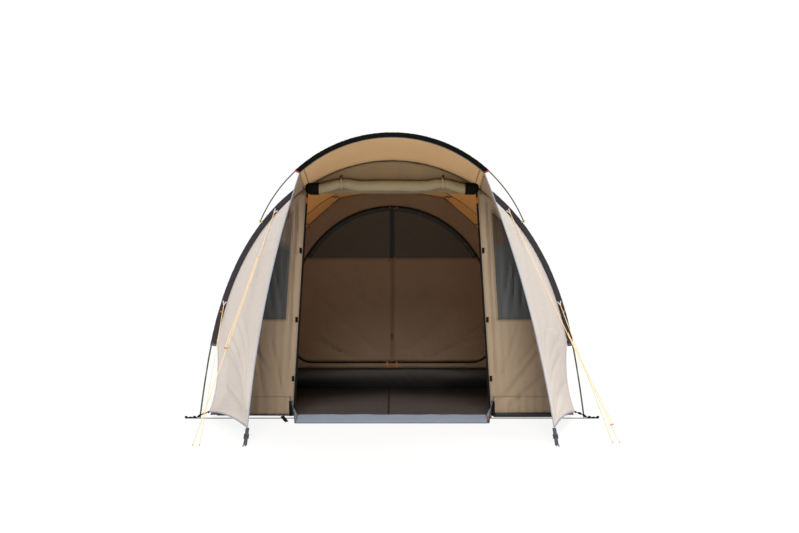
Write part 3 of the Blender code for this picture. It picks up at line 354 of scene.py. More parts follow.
class TentShape:
    """The curves and surfaces that the tent is sewn along."""

    def __init__(self, sizes: Pattern) -> None:
        """Bends the hoops and works out what follows from the sizes.

        Args:
            sizes: The sizes.
        """
        self.sizes = s = sizes
        self.front = Hoop(s.half_width, s.height, 0.0, s.steps)
        self.middle = Hoop(s.half_width, s.height, s.middle_y, s.steps)
        self.rear = Hoop(s.rear_half_width, s.rear_height, s.rear_y, s.steps)
        self.hoops = {"front": self.front, "middle": self.middle, "rear": self.rear}
        self.seam_inset = s.tail - s.overlap
        self.wall_inset = s.tail + s.wall + s.gap
        self.seam_y = self.sleeve_half(self.seam_inset - s.cloth / 2) + s.gap
        self.turned_y = self.seam_y + s.cloth / 2
        self.door_top = s.height - s.door_below_crown
        self.door_half_top = self.front.width_inside(self.wall_inset, self.door_top) - s.door_corner_margin
        self.window_top = self.door_top - s.window_below_door
        self.roll_half = self.door_half_top - s.roll_beside_corner
        self.brow_height = s.height + s.brow_above
        self.brow_half = self.front.width_inside(0.0, s.brow_foot_height) + s.brow_foot_out
        self.inner_y = s.middle_y + s.strap_width / 2 + s.gap
        self.inner_hung = self.wall_inset + s.inner_inset
        self.zip_top = s.height - s.zip_below_crown
        self._heights = np.linspace(0.0, self.front.at(0.0, self.wall_inset).z - 0.001, 200)
        self._halves = np.array([self.front.width_inside(self.wall_inset, z) for z in self._heights])
        sewn = (s.sleeve_end - s.canopy_step) / (s.sleeve_end - s.canopy_step + s.free_rows)
        self._leg = [self.wing(Side.RIGHT, 1 - (1 - sewn) * share / 60, 0.0) for share in range(61)]

    def wall_half(self, height: float) -> float:
        """Half the width of the front wall at a height."""
        return float(np.interp(height, self._heights, self._halves))

    def leg_half(self, height: float) -> float:
        """Half the width at the wings' free rear edge, where wall and roof are cut back to it."""
        if height > self._leg[-1].z:
            return math.inf
        return float(np.interp(height, [point.z for point in self._leg], [point.x for point in self._leg]))

    def sleeve_half(self, inset: float) -> float:
        """Half a sleeve's thickness at a distance inside the pole's centre line.

        Args:
            inset: Distance inside the pole's centre line.

        Returns:
            Half the thickness.
        """
        s = self.sizes
        nose = s.pole_radius + s.gap + s.wall
        end = s.tail_bore + s.wall
        return nose + (end - nose) * inset / (s.tail + s.wall)

    def brow_frame(self, share: float) -> Frame:
        """Place, tangent and sleeve direction on the brow pole, for a share from -1 to 1.

        Args:
            share: From the left foot at -1 to the right foot at 1.

        Returns:
            The place and the two directions.
        """
        s = self.sizes
        rise = self.brow_height - s.brow_foot_height
        radius = (self.brow_half**2 + rise**2) / (2 * rise)
        full = math.asin(self.brow_half / radius)
        turn = share * full
        lean = math.pi / 2 * share
        place = Vector((
            radius * math.sin(turn),
            -s.brow_reach * math.cos(lean) - s.pole_radius,
            self.brow_height - radius * (1 - math.cos(turn)),
        ))
        tangent = Vector((
            radius * math.cos(turn),
            s.brow_reach * math.sin(lean) * math.pi / 2 / full,
            -radius * math.sin(turn),
        )).normalized()
        inward = Vector((-math.sin(turn), 1.0, -math.cos(turn)))
        return place, tangent, (inward - tangent * inward.dot(tangent)).normalized()

    def canopy_front_edge(self, step: float) -> Vector:
        """Where the canopy meets the tail of the brow sleeve."""
        s = self.sizes
        place, _, tail = self.brow_frame(s.brow_share * step / s.canopy_step)
        return place + tail * (s.brow_tail + s.wall + s.gap + s.cloth / 2)

    def bay(self, near: Hoop, far: Hoop, u: float, v: float) -> Vector:
        """A point of the roof between two hoops, drawn inwards between them as taut cloth is.

        Args:
            near: The hoop in front.
            far: The hoop behind.
            u: Share of the way across.
            v: Share of the way down its length.

        Returns:
            The point.
        """
        s = self.sizes
        step = near.hem_step(u, s.hem)
        start = near.at(step, self.seam_inset, -self.seam_y)
        end = far.at(far.hem_step(u, s.hem), self.seam_inset, self.seam_y)
        return start.lerp(end, v) - near.frame(step)[2] * (s.bay_sag * 4 * v * (1 - v))

    def rear_ground(self, step: float, half: float, back: float, height: float) -> Vector:
        """The foot of a rear wall: a bow on the ground behind the last hoop.

        Args:
            step: Steps from the crown, negative to the left.
            half: Half its width.
            back: How far back it bows.
            height: Its height.

        Returns:
            A point of the bow.
        """
        s = self.sizes
        turn = math.pi / 2 * step / s.steps
        y = self.rear.y + s.rear_corner_back + (back - s.rear_corner_back) * math.cos(turn)
        return Vector((half * math.sin(turn), y, height))

    def rear_wall(self, u: float, v: float) -> Vector:
        """A point of the rear wall, from the rear hoop down to its bowed foot.

        Args:
            u: Share of the way across.
            v: Share of the way down its length.

        Returns:
            The point.
        """
        s = self.sizes
        step = self.rear.hem_step(u, s.hem)
        half = self.rear.at(self.rear.step_at_height(s.hem), self.seam_inset).x
        top = self.rear.at(step, self.seam_inset, -self.turned_y)
        foot = self.rear_ground(step, half, s.rear_back + s.rear_corner_back, s.hem)
        bulge = s.rear_bulge * 4 * v * (1 - v) * (1 - abs(step) / s.steps)
        return top.lerp(foot, v) + Vector((0, bulge, bulge))

    def canopy(self, u: float, v: float) -> Vector:
        """A point of the canopy, from the front hoop out to the brow sleeve.

        Args:
            u: Share of the way across.
            v: Share of the way down its length.

        Returns:
            The point.
        """
        s = self.sizes
        step = s.canopy_step * (2 * u - 1)
        start = self.front.at(step, self.seam_inset, self.seam_y)
        rise = s.canopy_rise * 4 * v * (1 - v) * (1 - (step / s.canopy_step) ** 2)
        return start.lerp(self.canopy_front_edge(step), v) + UP * rise

    def wing_tip(self, side: Side) -> Vector:
        """The corner of a wing that is pegged out in front."""
        s = self.sizes
        return Vector((side.value * s.of(s.tip_out, side), -s.tip_forward, s.tip_height))

    def wing(self, side: Side, fall: float, share: float) -> Vector:
        """A point of a wing: fall runs from the canopy down, share from the hoop to the free edge.

        Args:
            side: The side of the tent.
            fall: Share from the canopy down.
            share: Share from the hoop to the free edge.

        Returns:
            The point.
        """
        s, sign = self.sizes, side.value
        sewn = s.sleeve_end - s.canopy_step
        row = fall * (sewn + s.free_rows)
        end = self.front.at(sign * s.sleeve_end, self.seam_inset, self.turned_y)
        corner = Vector((sign * (s.half_width - s.corner_inside), -s.corner_forward, s.corner_height))
        drop = end.z - corner.z
        free = (
            end,
            end + Vector((-sign * 0.2 * ((end.x - corner.x) * sign + 0.1), 0, -0.4 * drop)),
            corner + Vector((-sign * 0.07, s.corner_forward / 3, 0.35 * drop)),
            corner,
        )
        if row <= sewn:
            rear = self.front.at(sign * (s.canopy_step + row), self.seam_inset, self.turned_y)
        else:
            rear = bezier(free, (row - sewn) / s.free_rows)
        tip = self.wing_tip(side)
        bow = Vector((sign * 0.57, 0.82, 0.0)) * (s.edge_bow * 4 * fall * (1 - fall))
        front = self.canopy_front_edge(sign * s.canopy_step).lerp(tip, fall) + bow
        along = self.front.frame(sign * s.canopy_step)[1]
        place = rear.lerp(front, share) + along * (sign * (s.gap + s.cloth / 2) * (1 - fall))
        inwards = Vector((-sign, -0.2, 0))
        place += inwards * (s.wing_sag * 4 * share * (1 - share) * math.sin(math.pi * min(fall, 1.0)) ** 0.5)
        place.z += s.foot_arch * 4 * share * (1 - share) * fall**4
        away = (place - tip).length
        angle = (1 - share) / max((1 - share) + (1 - fall), TINY)
        reach = away / s.fold_reach
        fold = math.sin(s.fold_count * math.pi * angle) * reach * math.exp(1 - reach)
        return place + inwards * (s.fold_depth * fold * inland(share, 0.11, 0.11))

    def door_half(self, height: float) -> float:
        """Half the doorway's width at a height."""
        s = self.sizes
        share = (height - s.hem) / (self.door_top - s.hem)
        return s.door_half_foot + (self.door_half_top - s.door_half_foot) * share

    def window_outline(self, side: Side, margin: float) -> list[Vector]:
        """The window's outline, with its curved outer side, shrunk by a margin all round.

        Args:
            side: The side of the tent.
            margin: Distance inside the line itself.

        Returns:
            The corners.
        """
        s, sign = self.sizes, side.value
        foot, top = s.window_foot + margin, self.window_top - margin
        beside = s.window_beside_door + margin
        inner_foot = Vector((sign * (self.door_half(foot) + beside), 0, foot))
        inner_top = Vector((sign * (self.door_half(top) + beside), 0, top - s.window_slope * margin))
        side_points: list[Vector] = []
        for number in range(80 * (s.steps - 1), 0, -1):
            step = number / 80
            height = self.front.frame(step)[0].z
            share = min(max((height - s.window_foot) / (self.window_top - s.window_foot), 0.0), 1.0)
            edge = s.window_margin_foot + (s.window_margin_top - s.window_margin_foot) * share
            point = self.front.at(sign * step, self.wall_inset + margin + edge)
            if point.z > inner_top.z - s.window_slope * (abs(point.x) - abs(inner_top.x)):
                side_points.append(point)
                break
            if point.z >= foot and (number % 20 == 0 or not side_points):
                side_points.append(point)
        return [inner_foot, *side_points, inner_top]

    def inner_step(self, hoop: Hoop, u: float) -> float:
        """The step of the inner tent's outline at a share of the way from side to side."""
        return hoop.step_at_height(self.sizes.bathtub) * (2 * u - 1)

    def inner_section(self, hoop: Hoop, u: float, y: float) -> Vector:
        """A point of the inner tent's outline at a hoop.

        Args:
            hoop: The hoop.
            u: Share of the way across.
            y: Place along the tent.

        Returns:
            The point.
        """
        s = self.sizes
        step = self.inner_step(hoop, u)
        place = hoop.at(step, self.inner_hung)
        for near, far in zip(s.inner_knots, s.inner_knots[1:]):
            if near[0] <= abs(step) < far[0]:
                first, second = (hoop.at(math.copysign(knot, step), inset) for knot, inset in (near, far))
                place = first.lerp(second, (abs(step) - near[0]) / (far[0] - near[0]))
        low = s.bathtub
        return Vector((place.x, y, low if u in (0.0, 1.0) else max(place.z, low)))

    def inner(self, u: float, v: float) -> Vector:
        """A point of the inner tent, from its front seam over the rear hoop to the back of its floor.

        Args:
            u: Share of the way across.
            v: Share of the way down its length.

        Returns:
            The point.
        """
        s = self.sizes
        rear_y = s.rear_y - s.inner_inset
        start = self.inner_section(self.rear, u, rear_y)
        if v <= 0.5:
            front = self.inner_section(self.middle, u, self.inner_y + s.cloth + s.gap)
            return front.lerp(start, 2 * v)
        half = abs(self.inner_section(self.rear, 0.0, rear_y).x)
        step = s.steps * (2 * u - 1)
        foot = self.rear_ground(step, half, s.inner_back, s.bathtub) + FORWARD * s.inner_inset
        return start.lerp(foot, 2 * v - 1)

    def inner_door(self, margin: float, fine: int = 5) -> list[Vector]:
        """The inner door's outline, shrunk by a margin: flat foot, round corners and a wide arch.

        Args:
            margin: Distance inside the line itself.
            fine: Cuts in a twelfth of the arch.

        Returns:
            The corners.
        """
        s = self.sizes
        half, foot, top = s.zip_half - margin, s.zip_foot + margin, self.zip_top - margin
        corner = s.zip_corner - margin
        right = []
        for step in range(4 * fine + 1):
            turn = math.pi / 2 * step / (4 * fine)
            right.append((half - corner + corner * math.sin(turn), foot + corner - corner * math.cos(turn)))
        for step in range(12 * fine):
            turn = math.pi / 2 * step / (12 * fine)
            right.append((half * math.cos(turn), s.zip_shoulder + (top - s.zip_shoulder) * math.sin(turn)))
        left = [(-x, z) for x, z in reversed(right)]
        return [Vector((x, self.inner_y, z)) for x, z in [*right, (0.0, top), *left]]


def bezier(points: Line, share: float) -> Vector:
    """A point on a Bezier curve through four control points."""
    a, b, c, d = points
    rest = 1 - share
    return a * rest**3 + b * (3 * rest**2 * share) + c * (3 * rest * share**2) + d * share**3


def node(tree: Tree, kind: str, inputs: dict, **settings: object) -> Node:
    """Adds a shader node.

    Args:
        tree: The tree it goes into.
        kind: Its type without the ShaderNode prefix.
        inputs: Values or sockets for its inputs, by name or number.
        settings: Its own properties.

    Returns:
        The node.
    """
    made = tree.nodes.new(f"ShaderNode{kind}")
    for name, value in settings.items():
        setattr(made, name, value)
    for name, value in inputs.items():
        if isinstance(value, Socket):
            tree.links.new(value, made.inputs[name])
        else:
            made.inputs[name].default_value = value
    return made


def calc(tree: Tree, kind: str, *values: object) -> Socket:
    """The output of a Math node over values or sockets."""
    return node(tree, "Math", dict(enumerate(values)), operation=kind).outputs[0]


def blended(tree: Tree, factor: object, first: object, second: object, blend: str = "MIX") -> Socket:
    """The colour that a Mix node makes of two."""
    inputs = {"Factor": factor, 6: first, 7: second}
    return node(tree, "Mix", inputs, data_type="RGBA", blend_type=blend).outputs[2]


def grouped(tree: Tree, group: Tree, values: dict) -> bpy.types.bpy_prop_collection:
    """The outputs of a node group placed with its values."""
    return node(tree, "Group", values, node_tree=group).outputs


class Effects:
    """Surface effects that several finishes share, each a node group built once."""

    GRAIN = 55.0
    RIDGE = 0.11
    STITCH = 0.0034
    STITCH_SHARE = 0.68
    STITCH_ROWS = (0.18, 0.82)
    STITCH_WIDTH = 0.0007

    def __init__(self) -> None:
        """Builds the groups."""
        self.weave = self._weave()
        self.mottle = self._mottle()
        self.creases = self._creases()
        self.stitching = self._stitching()
        self.ribs = self._ribs()

    @staticmethod
    def _new(name: str, inputs: dict[str, str], outputs: dict[str, str]) -> tuple[Tree, object, object]:
        """An empty group with its sockets, its input node's outputs and its output node's inputs.

        Args:
            name: The group's name.
            inputs: Its inputs and their kinds.
            outputs: Its outputs and their kinds.

        Returns:
            The group and its two sets of sockets.
        """
        tree = bpy.data.node_groups.new(name, "ShaderNodeTree")
        for label, kind in inputs.items():
            tree.interface.new_socket(label, in_out="INPUT", socket_type=f"NodeSocket{kind}")
        for label, kind in outputs.items():
            tree.interface.new_socket(label, in_out="OUTPUT", socket_type=f"NodeSocket{kind}")
        return tree, tree.nodes.new("NodeGroupInput").outputs, tree.nodes.new("NodeGroupOutput").inputs

    def _weave(self) -> Tree:
        """Threads that pass over and under each other.

        Returns:
            The group.
        """
        sockets = {"Vector": "Vector", "Thread": "Float"}
        tree, given, out = self._new("Plain weave", sockets, {"Height": "Float"})
        parts = node(tree, "SeparateXYZ", {0: given["Vector"]}).outputs
        turns = calc(tree, "DIVIDE", math.pi, given["Thread"])
        waves = [calc(tree, "SINE", calc(tree, "MULTIPLY", parts[axis], turns)) for axis in (0, 1)]
        tree.links.new(calc(tree, "MULTIPLY", *waves), out["Height"])
        return tree

    def _mottle(self) -> Tree:
        """Uneven dye: broad clouds and a fine grain of darker and lighter cloth.

        Returns:
            The group.
        """
        sockets = {"Vector": "Vector", "Color": "Color", "Amount": "Float", "Scale": "Float"}
        tree, given, out = self._new("Mottled dye", sockets, {"Color": "Color"})
        clouds = node(tree, "TexNoise", {"Vector": given["Vector"], "Scale": given["Scale"], "Detail": 3.0})
        fine = calc(tree, "MULTIPLY", given["Scale"], self.GRAIN)
        grain = node(tree, "TexNoise", {"Vector": given["Vector"], "Scale": fine, "Detail": 1.0})
        both = calc(tree, "ADD", clouds.outputs["Fac"], calc(tree, "MULTIPLY", grain.outputs["Fac"], 0.5))
        shift = calc(tree, "MULTIPLY", calc(tree, "SUBTRACT", both, 0.75), given["Amount"])
        value = calc(tree, "ADD", shift, 1.0)
        made = node(tree, "HueSaturation", {"Color": given["Color"], "Value": value})
        tree.links.new(made.outputs[0], out["Color"])
        return tree

    def _creases(self) -> Tree:
        """Soft creases left by packing: ridges where a stretched noise crosses its middle.

        Returns:
            The group.
        """
        sockets = {"Vector": "Vector", "Scale": "Float"}
        tree, given, out = self._new("Packing creases", sockets, {"Height": "Float"})
        heights = []
        for stretch, detail in (((1.0, 0.35, 1.0), 2.0), ((0.4, 1.0, 1.0), 3.0)):
            placed = node(tree, "Mapping", {"Vector": given["Vector"], "Scale": stretch})
            inputs = {"Vector": placed.outputs[0], "Scale": given["Scale"], "Detail": detail}
            off = calc(tree, "SUBTRACT", node(tree, "TexNoise", inputs).outputs["Fac"], 0.5)
            heights.append(calc(tree, "MINIMUM", calc(tree, "ABSOLUTE", off), self.RIDGE))
        tree.links.new(calc(tree, "ADD", *heights), out["Height"])
        return tree

    def _stitching(self) -> Tree:
        """A turned edge with two rows of stitches, by the distance from the edge.

        Returns:
            The group.
        """
        sockets = {"Edge": "Float", "Vector": "Vector", "Width": "Float"}
        tree, given, out = self._new("Stitched edge", sockets, {"Hem": "Float", "Stitches": "Float"})
        hem = calc(tree, "LESS_THAN", given["Edge"], given["Width"])
        parts = node(tree, "SeparateXYZ", {0: given["Vector"]}).outputs
        along = calc(tree, "MULTIPLY", calc(tree, "ADD", parts[0], parts[1]), 1 / self.STITCH)
        dash = calc(tree, "LESS_THAN", calc(tree, "FRACT", along), self.STITCH_SHARE)
        rows = []
        for share in self.STITCH_ROWS:
            off = calc(tree, "SUBTRACT", given["Edge"], calc(tree, "MULTIPLY", given["Width"], share))
            rows.append(calc(tree, "LESS_THAN", calc(tree, "ABSOLUTE", off), self.STITCH_WIDTH))
        rows_on = calc(tree, "MAXIMUM", *rows)
        tree.links.new(hem, out["Hem"])
        tree.links.new(calc(tree, "MULTIPLY", rows_on, dash), out["Stitches"])
        return tree

    def _ribs(self) -> Tree:
        """Slanting ribs, as on webbing, cord and zip teeth.

        Returns:
            The group.
        """
        sockets = {"Vector": "Vector", "Pitch": "Float", "Slant": "Float"}
        tree, given, out = self._new("Slanting ribs", sockets, {"Height": "Float"})
        parts = node(tree, "SeparateXYZ", {0: given["Vector"]}).outputs
        side = calc(tree, "ADD", parts[1], parts[2])
        slanted = calc(tree, "ADD", parts[0], calc(tree, "MULTIPLY", side, given["Slant"]))
        turns = calc(tree, "DIVIDE", 2 * math.pi, given["Pitch"])
        wave = calc(tree, "SINE", calc(tree, "MULTIPLY", slanted, turns))
        tree.links.new(calc(tree, "MULTIPLY", calc(tree, "ADD", wave, 1.0), 0.5), out["Height"])
        return tree


@dataclass(frozen=True)
class Finish:
    """A finish: its colour as the photograph shows it, and the record's slot it belongs to."""

    name: str
    slot: str
    colour: Colour
    roughness: float = 0.8
    mottle: float = 0.18
    scale: float = 6.0
    metallic: float = 0.0
    coat: float = 0.0
    gloss: float = 0.5

    def made(self, effects: Effects) -> bpy.types.Material:
        """The material, built the first time it is asked for.

        Args:
            effects: The shared node groups.

        Returns:
            The material.
        """
        label = f"finish_{self.name}"
        known = bpy.data.materials.get(label)
        if known:
            return known
        material = bpy.data.materials.new(label)
        material.use_nodes = True
        tree = material.node_tree
        shader = tree.nodes["Principled BSDF"]
        shader.inputs["Roughness"].default_value = self.roughness
        shader.inputs["Metallic"].default_value = self.metallic
        shader.inputs["Coat Weight"].default_value = self.coat
        shader.inputs["Specular IOR Level"].default_value = self.gloss
        self.paint(tree, shader, effects)
        return material

    def place(self, tree: Tree) -> Socket:
        """The coordinate that the pattern follows."""
        return node(tree, "TexCoord", {}).outputs["Object"]

    def dyed(self, tree: Tree, effects: Effects, place: Socket) -> Socket:
        """The base colour with its clouds."""
        values = {"Vector": place, "Color": linear(self.colour), "Amount": self.mottle, "Scale": self.scale}
        return grouped(tree, effects.mottle, values)[0]

    def bump(self, tree: Tree, shader: Node, heights: Sequence[tuple[Socket, float]]) -> Socket:
        """Raises the surface by heights, each with its depth in metres, and returns the normal.

        Args:
            tree: The material's node tree.
            shader: Its main shader.
            heights: Each height with its depth in metres.

        Returns:
            The bumped normal.
        """
        total = None
        for height, depth in heights:
            part = calc(tree, "MULTIPLY", height, depth)
            total = part if total is None else calc(tree, "ADD", total, part)
        made = node(tree, "Bump", {"Height": total, "Distance": 1.0, "Strength": 1.0})
        tree.links.new(made.outputs[0], shader.inputs["Normal"])
        return made.outputs[0]

    def paint(self, tree: Tree, shader: Node, effects: Effects) -> None:
        """Moulded plastic: faint clouds and a fine matt grain.

        Args:
            tree: The material's node tree.
            shader: Its main shader.
            effects: The shared node groups.
        """
        place = self.place(tree)
        tree.links.new(self.dyed(tree, effects, place), shader.inputs["Base Color"])
        grain = node(tree, "TexNoise", {"Vector": place, "Scale": 900.0, "Detail": 2.0}).outputs["Fac"]
        self.bump(tree, shader, [(grain, 0.00012)])


@dataclass(frozen=True)
class ClothFinish(Finish):
    """Woven cloth: dye, threads, packing creases, a stitched edge, and light that comes through."""

    gloss: float = 0.12
    glow: float = 0.0
    glow_colour: Colour = (255, 255, 255)
    thread: float = 0.0007
    thread_depth: float = 0.00009
    crease: float = 0.010
    crease_scale: float = 7.0
    hem: float = 0.011
    hem_shade: float = 0.88
    hem_rise: float = 0.0006
    stitch_shade: float = 0.45
    sheen: float = 0.0

    def place(self, tree: Tree) -> Socket:
        """The cloth's own map, in metres along its threads."""
        return node(tree, "UVMap", {}, uv_map="Cloth").outputs["UV"]

    def paint(self, tree: Tree, shader: Node, effects: Effects) -> None:
        """Dyes and weaves the cloth, and lets light through where it glows.

        Args:
            tree: The material's node tree.
            shader: Its main shader.
            effects: The shared node groups.
        """
        place = self.place(tree)
        edge = node(tree, "Attribute", {}, attribute_name="Edge").outputs["Fac"]
        threads = grouped(tree, effects.weave, {"Vector": place, "Thread": self.thread})[0]
        creases = grouped(tree, effects.creases, {"Vector": place, "Scale": self.crease_scale})[0]
        sewn = grouped(tree, effects.stitching, {"Edge": edge, "Vector": place, "Width": self.hem})
        shade = (*[self.hem_shade] * 3, 1.0)
        hemmed = blended(tree, sewn["Hem"], self.dyed(tree, effects, place), shade, "MULTIPLY")
        thread = (*[value * self.stitch_shade for value in linear(self.colour)[:3]], 1.0)
        stitched = blended(tree, sewn["Stitches"], hemmed, thread)
        tree.links.new(stitched, shader.inputs["Base Color"])
        shader.inputs["Sheen Weight"].default_value = self.sheen
        heights = [(threads, self.thread_depth), (creases, self.crease), (sewn["Hem"], self.hem_rise)]
        normal = self.bump(tree, shader, heights)
        if self.glow:
            tint = blended(tree, 1.0, stitched, linear(self.glow_colour), "MULTIPLY")
            through = node(tree, "BsdfTranslucent", {"Color": tint, "Normal": normal})
            mixed = node(tree, "MixShader", {0: self.glow, 1: shader.outputs[0], 2: through.outputs[0]})
            tree.links.new(mixed.outputs[0], tree.nodes["Material Output"].inputs["Surface"])


@dataclass(frozen=True)
class NetFinish(ClothFinish):
    """Insect net: a fine open grid."""

    hole: float = 0.0016
    share: float = 0.72
    knit_depth: float = 0.0002

    def paint(self, tree: Tree, shader: Node, effects: Effects) -> None:
        """Knits the net and opens its holes.

        Args:
            tree: The material's node tree.
            shader: Its main shader.
            effects: The shared node groups.
        """
        place = self.place(tree)
        tree.links.new(self.dyed(tree, effects, place), shader.inputs["Base Color"])
        threads = grouped(tree, effects.weave, {"Vector": place, "Thread": self.hole})[0]
        self.bump(tree, shader, [(threads, self.knit_depth)])
        closed = calc(tree, "LESS_THAN", calc(tree, "ABSOLUTE", threads), self.share)
        tree.links.new(closed, shader.inputs["Alpha"])


@dataclass(frozen=True)
class RibFinish(Finish):
    """Webbing, cord or zip: slanting ribs over mottled dye, with painted shade between the ribs."""

    pitch: float = 0.002
    slant: float = 1.0
    depth: float = 0.0003
    shade: float = 0.65
    on_map: bool = False

    def place(self, tree: Tree) -> Socket:
        """The piece's own map where it has one, else its object coordinates."""
        if self.on_map:
            return node(tree, "UVMap", {}, uv_map="Cloth").outputs["UV"]
        return super().place(tree)

    def paint(self, tree: Tree, shader: Node, effects: Effects) -> None:
        """Ribs the surface and darkens it between the ribs.

        Args:
            tree: The material's node tree.
            Ribs the surface and paints shade between the ribs.
            effects: The shared node groups.
        """
        place = self.place(tree)
        values = {"Vector": place, "Pitch": self.pitch, "Slant": self.slant}
        ribs = grouped(tree, effects.ribs, values)[0]
        dyed = self.dyed(tree, effects, place)
        # Painted shade: the grooves between the ribs take the dye darkened by the shade factor.
        low = blended(tree, 1.0, dyed, (*[self.shade] * 3, 1.0), "MULTIPLY")
        tree.links.new(blended(tree, ribs, low, dyed), shader.inputs["Base Color"])
        self.bump(tree, shader, [(ribs, self.depth)])


@dataclass(frozen=True)
class TwoToneRib(RibFinish):
    """Ribbed tape that has another colour above a height."""

    high_colour: Colour = (62, 68, 70)
    height: float = 1.254
    change: float = 0.002

    def dyed(self, tree: Tree, effects: Effects, place: Socket) -> Socket:
        """The dyed colour up to the height and the other above it.

        Args:
            tree: The material's node tree.
            effects: The shared node groups.
            place: The coordinate that the pattern follows.

        Returns:
            The colour.
        """
        rise = node(tree, "SeparateXYZ", {0: place}).outputs[2]
        span = {0: rise, 1: self.height - self.change, 2: self.height + self.change}
        mask = node(tree, "MapRange", span).outputs[0]
        return blended(tree, mask, super().dyed(tree, effects, place), linear(self.high_colour))


@dataclass(frozen=True)
class TwoToneFinish(ClothFinish):
    """Cloth of two tones that meet along a line of its map, with painted shade that can darken it far along.
    """

    low_colour: Colour = (80, 83, 86)
    across: Pair = (0.0, 1.0)
    meet: Pair = (1.02, 1.10)
    painted_shade_colour: Colour | None = None
    fade: Pair = (0.0, 1.0)

    def dyed(self, tree: Tree, effects: Effects, place: Socket) -> Socket:
        """The low colour before the line and the other behind it, with painted shade that darkens it far in.

        Args:
            tree: The material's node tree.
            effects: The shared node groups.
            place: The coordinate that the pattern follows.

        Returns:
            The colour.
        """
        beyond = super().dyed(tree, effects, place)
        parts = node(tree, "SeparateXYZ", {0: place}).outputs
        run = calc(tree, "ADD", *(calc(tree, "MULTIPLY", parts[axis], self.across[axis]) for axis in (0, 1)))
        # Painted shade: far along the run the colour fades into the shade colour.
        if self.painted_shade_colour:
            beyond = self._blend(tree, run, self.fade, beyond, linear(self.painted_shade_colour))
        return self._blend(tree, run, self.meet, linear(self.low_colour), beyond)

    @staticmethod
    def _blend(tree: Tree, run: Socket, span: Pair, near: object, far: object) -> Socket:
        """Passes from one colour to another over a span of the run."""
        mask = node(tree, "MapRange", {0: run, 1: span[0], 2: span[1]}).outputs[0]
        return blended(tree, mask, near, far)


PALE = ClothFinish("polycotton_pale", "polycotton_pale", (234, 228, 224), 0.88, 0.10, 2.2, glow=0.35,
                   glow_colour=(255, 248, 240), crease=0.012, sheen=0.1)
TAN = ClothFinish("polycotton_tan", "polycotton_tan", (213, 188, 152), 0.88, 0.14, 2.5, glow=0.45,
                  crease=0.010)
# Painted light: the inner side of the roof and rear wall is coloured golden-orange for the sunlight that
# shines through the pale cloth.
LIT_THROUGH_LINING = replace(TAN, name="polycotton_lining", colour=(208, 160, 100))
TAUPE = ClothFinish("polycotton_taupe", "polycotton_taupe", (170, 152, 131), 0.9, 0.16, 3.0, glow=0.12,
                    glow_colour=(255, 220, 180), crease=0.012)
# Painted shade: the header is a darker copy of the wall's taupe, for the canopy's shadow that falls on it.
CANOPY_SHADED_HEADER = replace(TAUPE, name="polycotton_header", colour=(149, 131, 104), glow=0.15, crease=0.010)
ROLL = ClothFinish("polycotton_roll", "polycotton_taupe", (151, 140, 114), 0.9, 0.16, 6.0, crease=0.010)
ROLL_EDGE = replace(ROLL, name="polycotton_edge", colour=(124, 100, 80))
TIE = replace(ROLL, name="tie_beige", colour=(190, 172, 142), scale=20.0)
FILM = TwoToneFinish("window_film", "window_film", (104, 88, 74), 0.4, 0.15, 4.0, crease=0.006,
                     thread_depth=0.0, coat=0.05, gloss=0.25)
# Painted shade: the groundsheet darkens to near black towards the cabin's tub, where the tub's overhang
# shades it.
LIP = TwoToneFinish("groundsheet_top", "groundsheet", (84, 82, 84), 0.45, 0.16, 5.0, crease=0.012,
                    thread=0.0015, thread_depth=0.0002, gloss=0.5, low_colour=(162, 180, 205),
                    across=(1.0, 0.0), meet=(0.20, 0.215), painted_shade_colour=(12, 12, 13), fade=(0.95, 1.70))
TUB = ClothFinish("bathtub", "bathtub", (21, 21, 21), 0.55, 0.2, 5.0, crease=0.008, gloss=0.4)
INNER = ClothFinish("inner_brown", "inner_brown", (158, 138, 116), 0.88, 0.16, 3.0, glow=0.3,
                    glow_colour=(255, 216, 172), crease=0.014)
NET = NetFinish("inner_net", "inner_brown", (90, 87, 80), 0.8, 0.1, 8.0)
BAND = ClothFinish("inner_band", "inner_brown", (62, 68, 70), 0.85, 0.15, 20.0)
SLEEVE = ClothFinish("sleeve_charcoal", "sleeve_charcoal", (56, 53, 58), 0.8, 0.35, 14.0, crease=0.012,
                     crease_scale=26.0, gloss=0.10)
BLACK_SLEEVE = ClothFinish("sleeve_black", "sleeve_black", (24, 23, 20), 0.9, 0.3, 14.0, crease=0.006,
                           crease_scale=22.0, gloss=0.0)
PIPING = RibFinish("piping", "groundsheet", (84, 96, 112), 0.6, 0.2, 30.0, pitch=0.0012, on_map=True,
                   gloss=0.2)
WING_PIPING = replace(PIPING, name="piping_light", colour=(152, 168, 190), gloss=0.5)
TRIM = RibFinish("trim_red", "orange", (196, 40, 44), 0.7, 0.15, 30.0, pitch=0.0012, on_map=True)
TAPE = RibFinish("tape_black", "webbing_black", (26, 25, 25), 0.9, 0.25, 40.0, pitch=0.0016, on_map=True,
                 gloss=0.1)
WEB_BLACK = replace(TAPE, name="webbing_black", colour=(84, 84, 92), pitch=0.0022, on_map=False)
WEB_WHITE = RibFinish("webbing_white", "webbing_white", (214, 214, 218), 0.7, 0.12, 40.0, pitch=0.0016)
WEB_YELLOW = RibFinish("webbing_yellow", "webbing_yellow", (220, 202, 140), 0.8, 0.15, 40.0, pitch=0.0018)
ZIP = RibFinish("zip_black", "zip_black", (24, 23, 23), 0.7, 0.2, 40.0, pitch=0.0016, slant=0.0, depth=0.0005,
                on_map=True, gloss=0.15)
DOOR_ZIP = replace(ZIP, name="zip_teeth", slant=6.0, on_map=False)
CABIN_ZIP = TwoToneRib("zip_brown", "zip_black", (138, 119, 98), 0.8, 0.15, 40.0, pitch=0.0016, slant=6.0,
                       depth=0.0004, gloss=0.1)
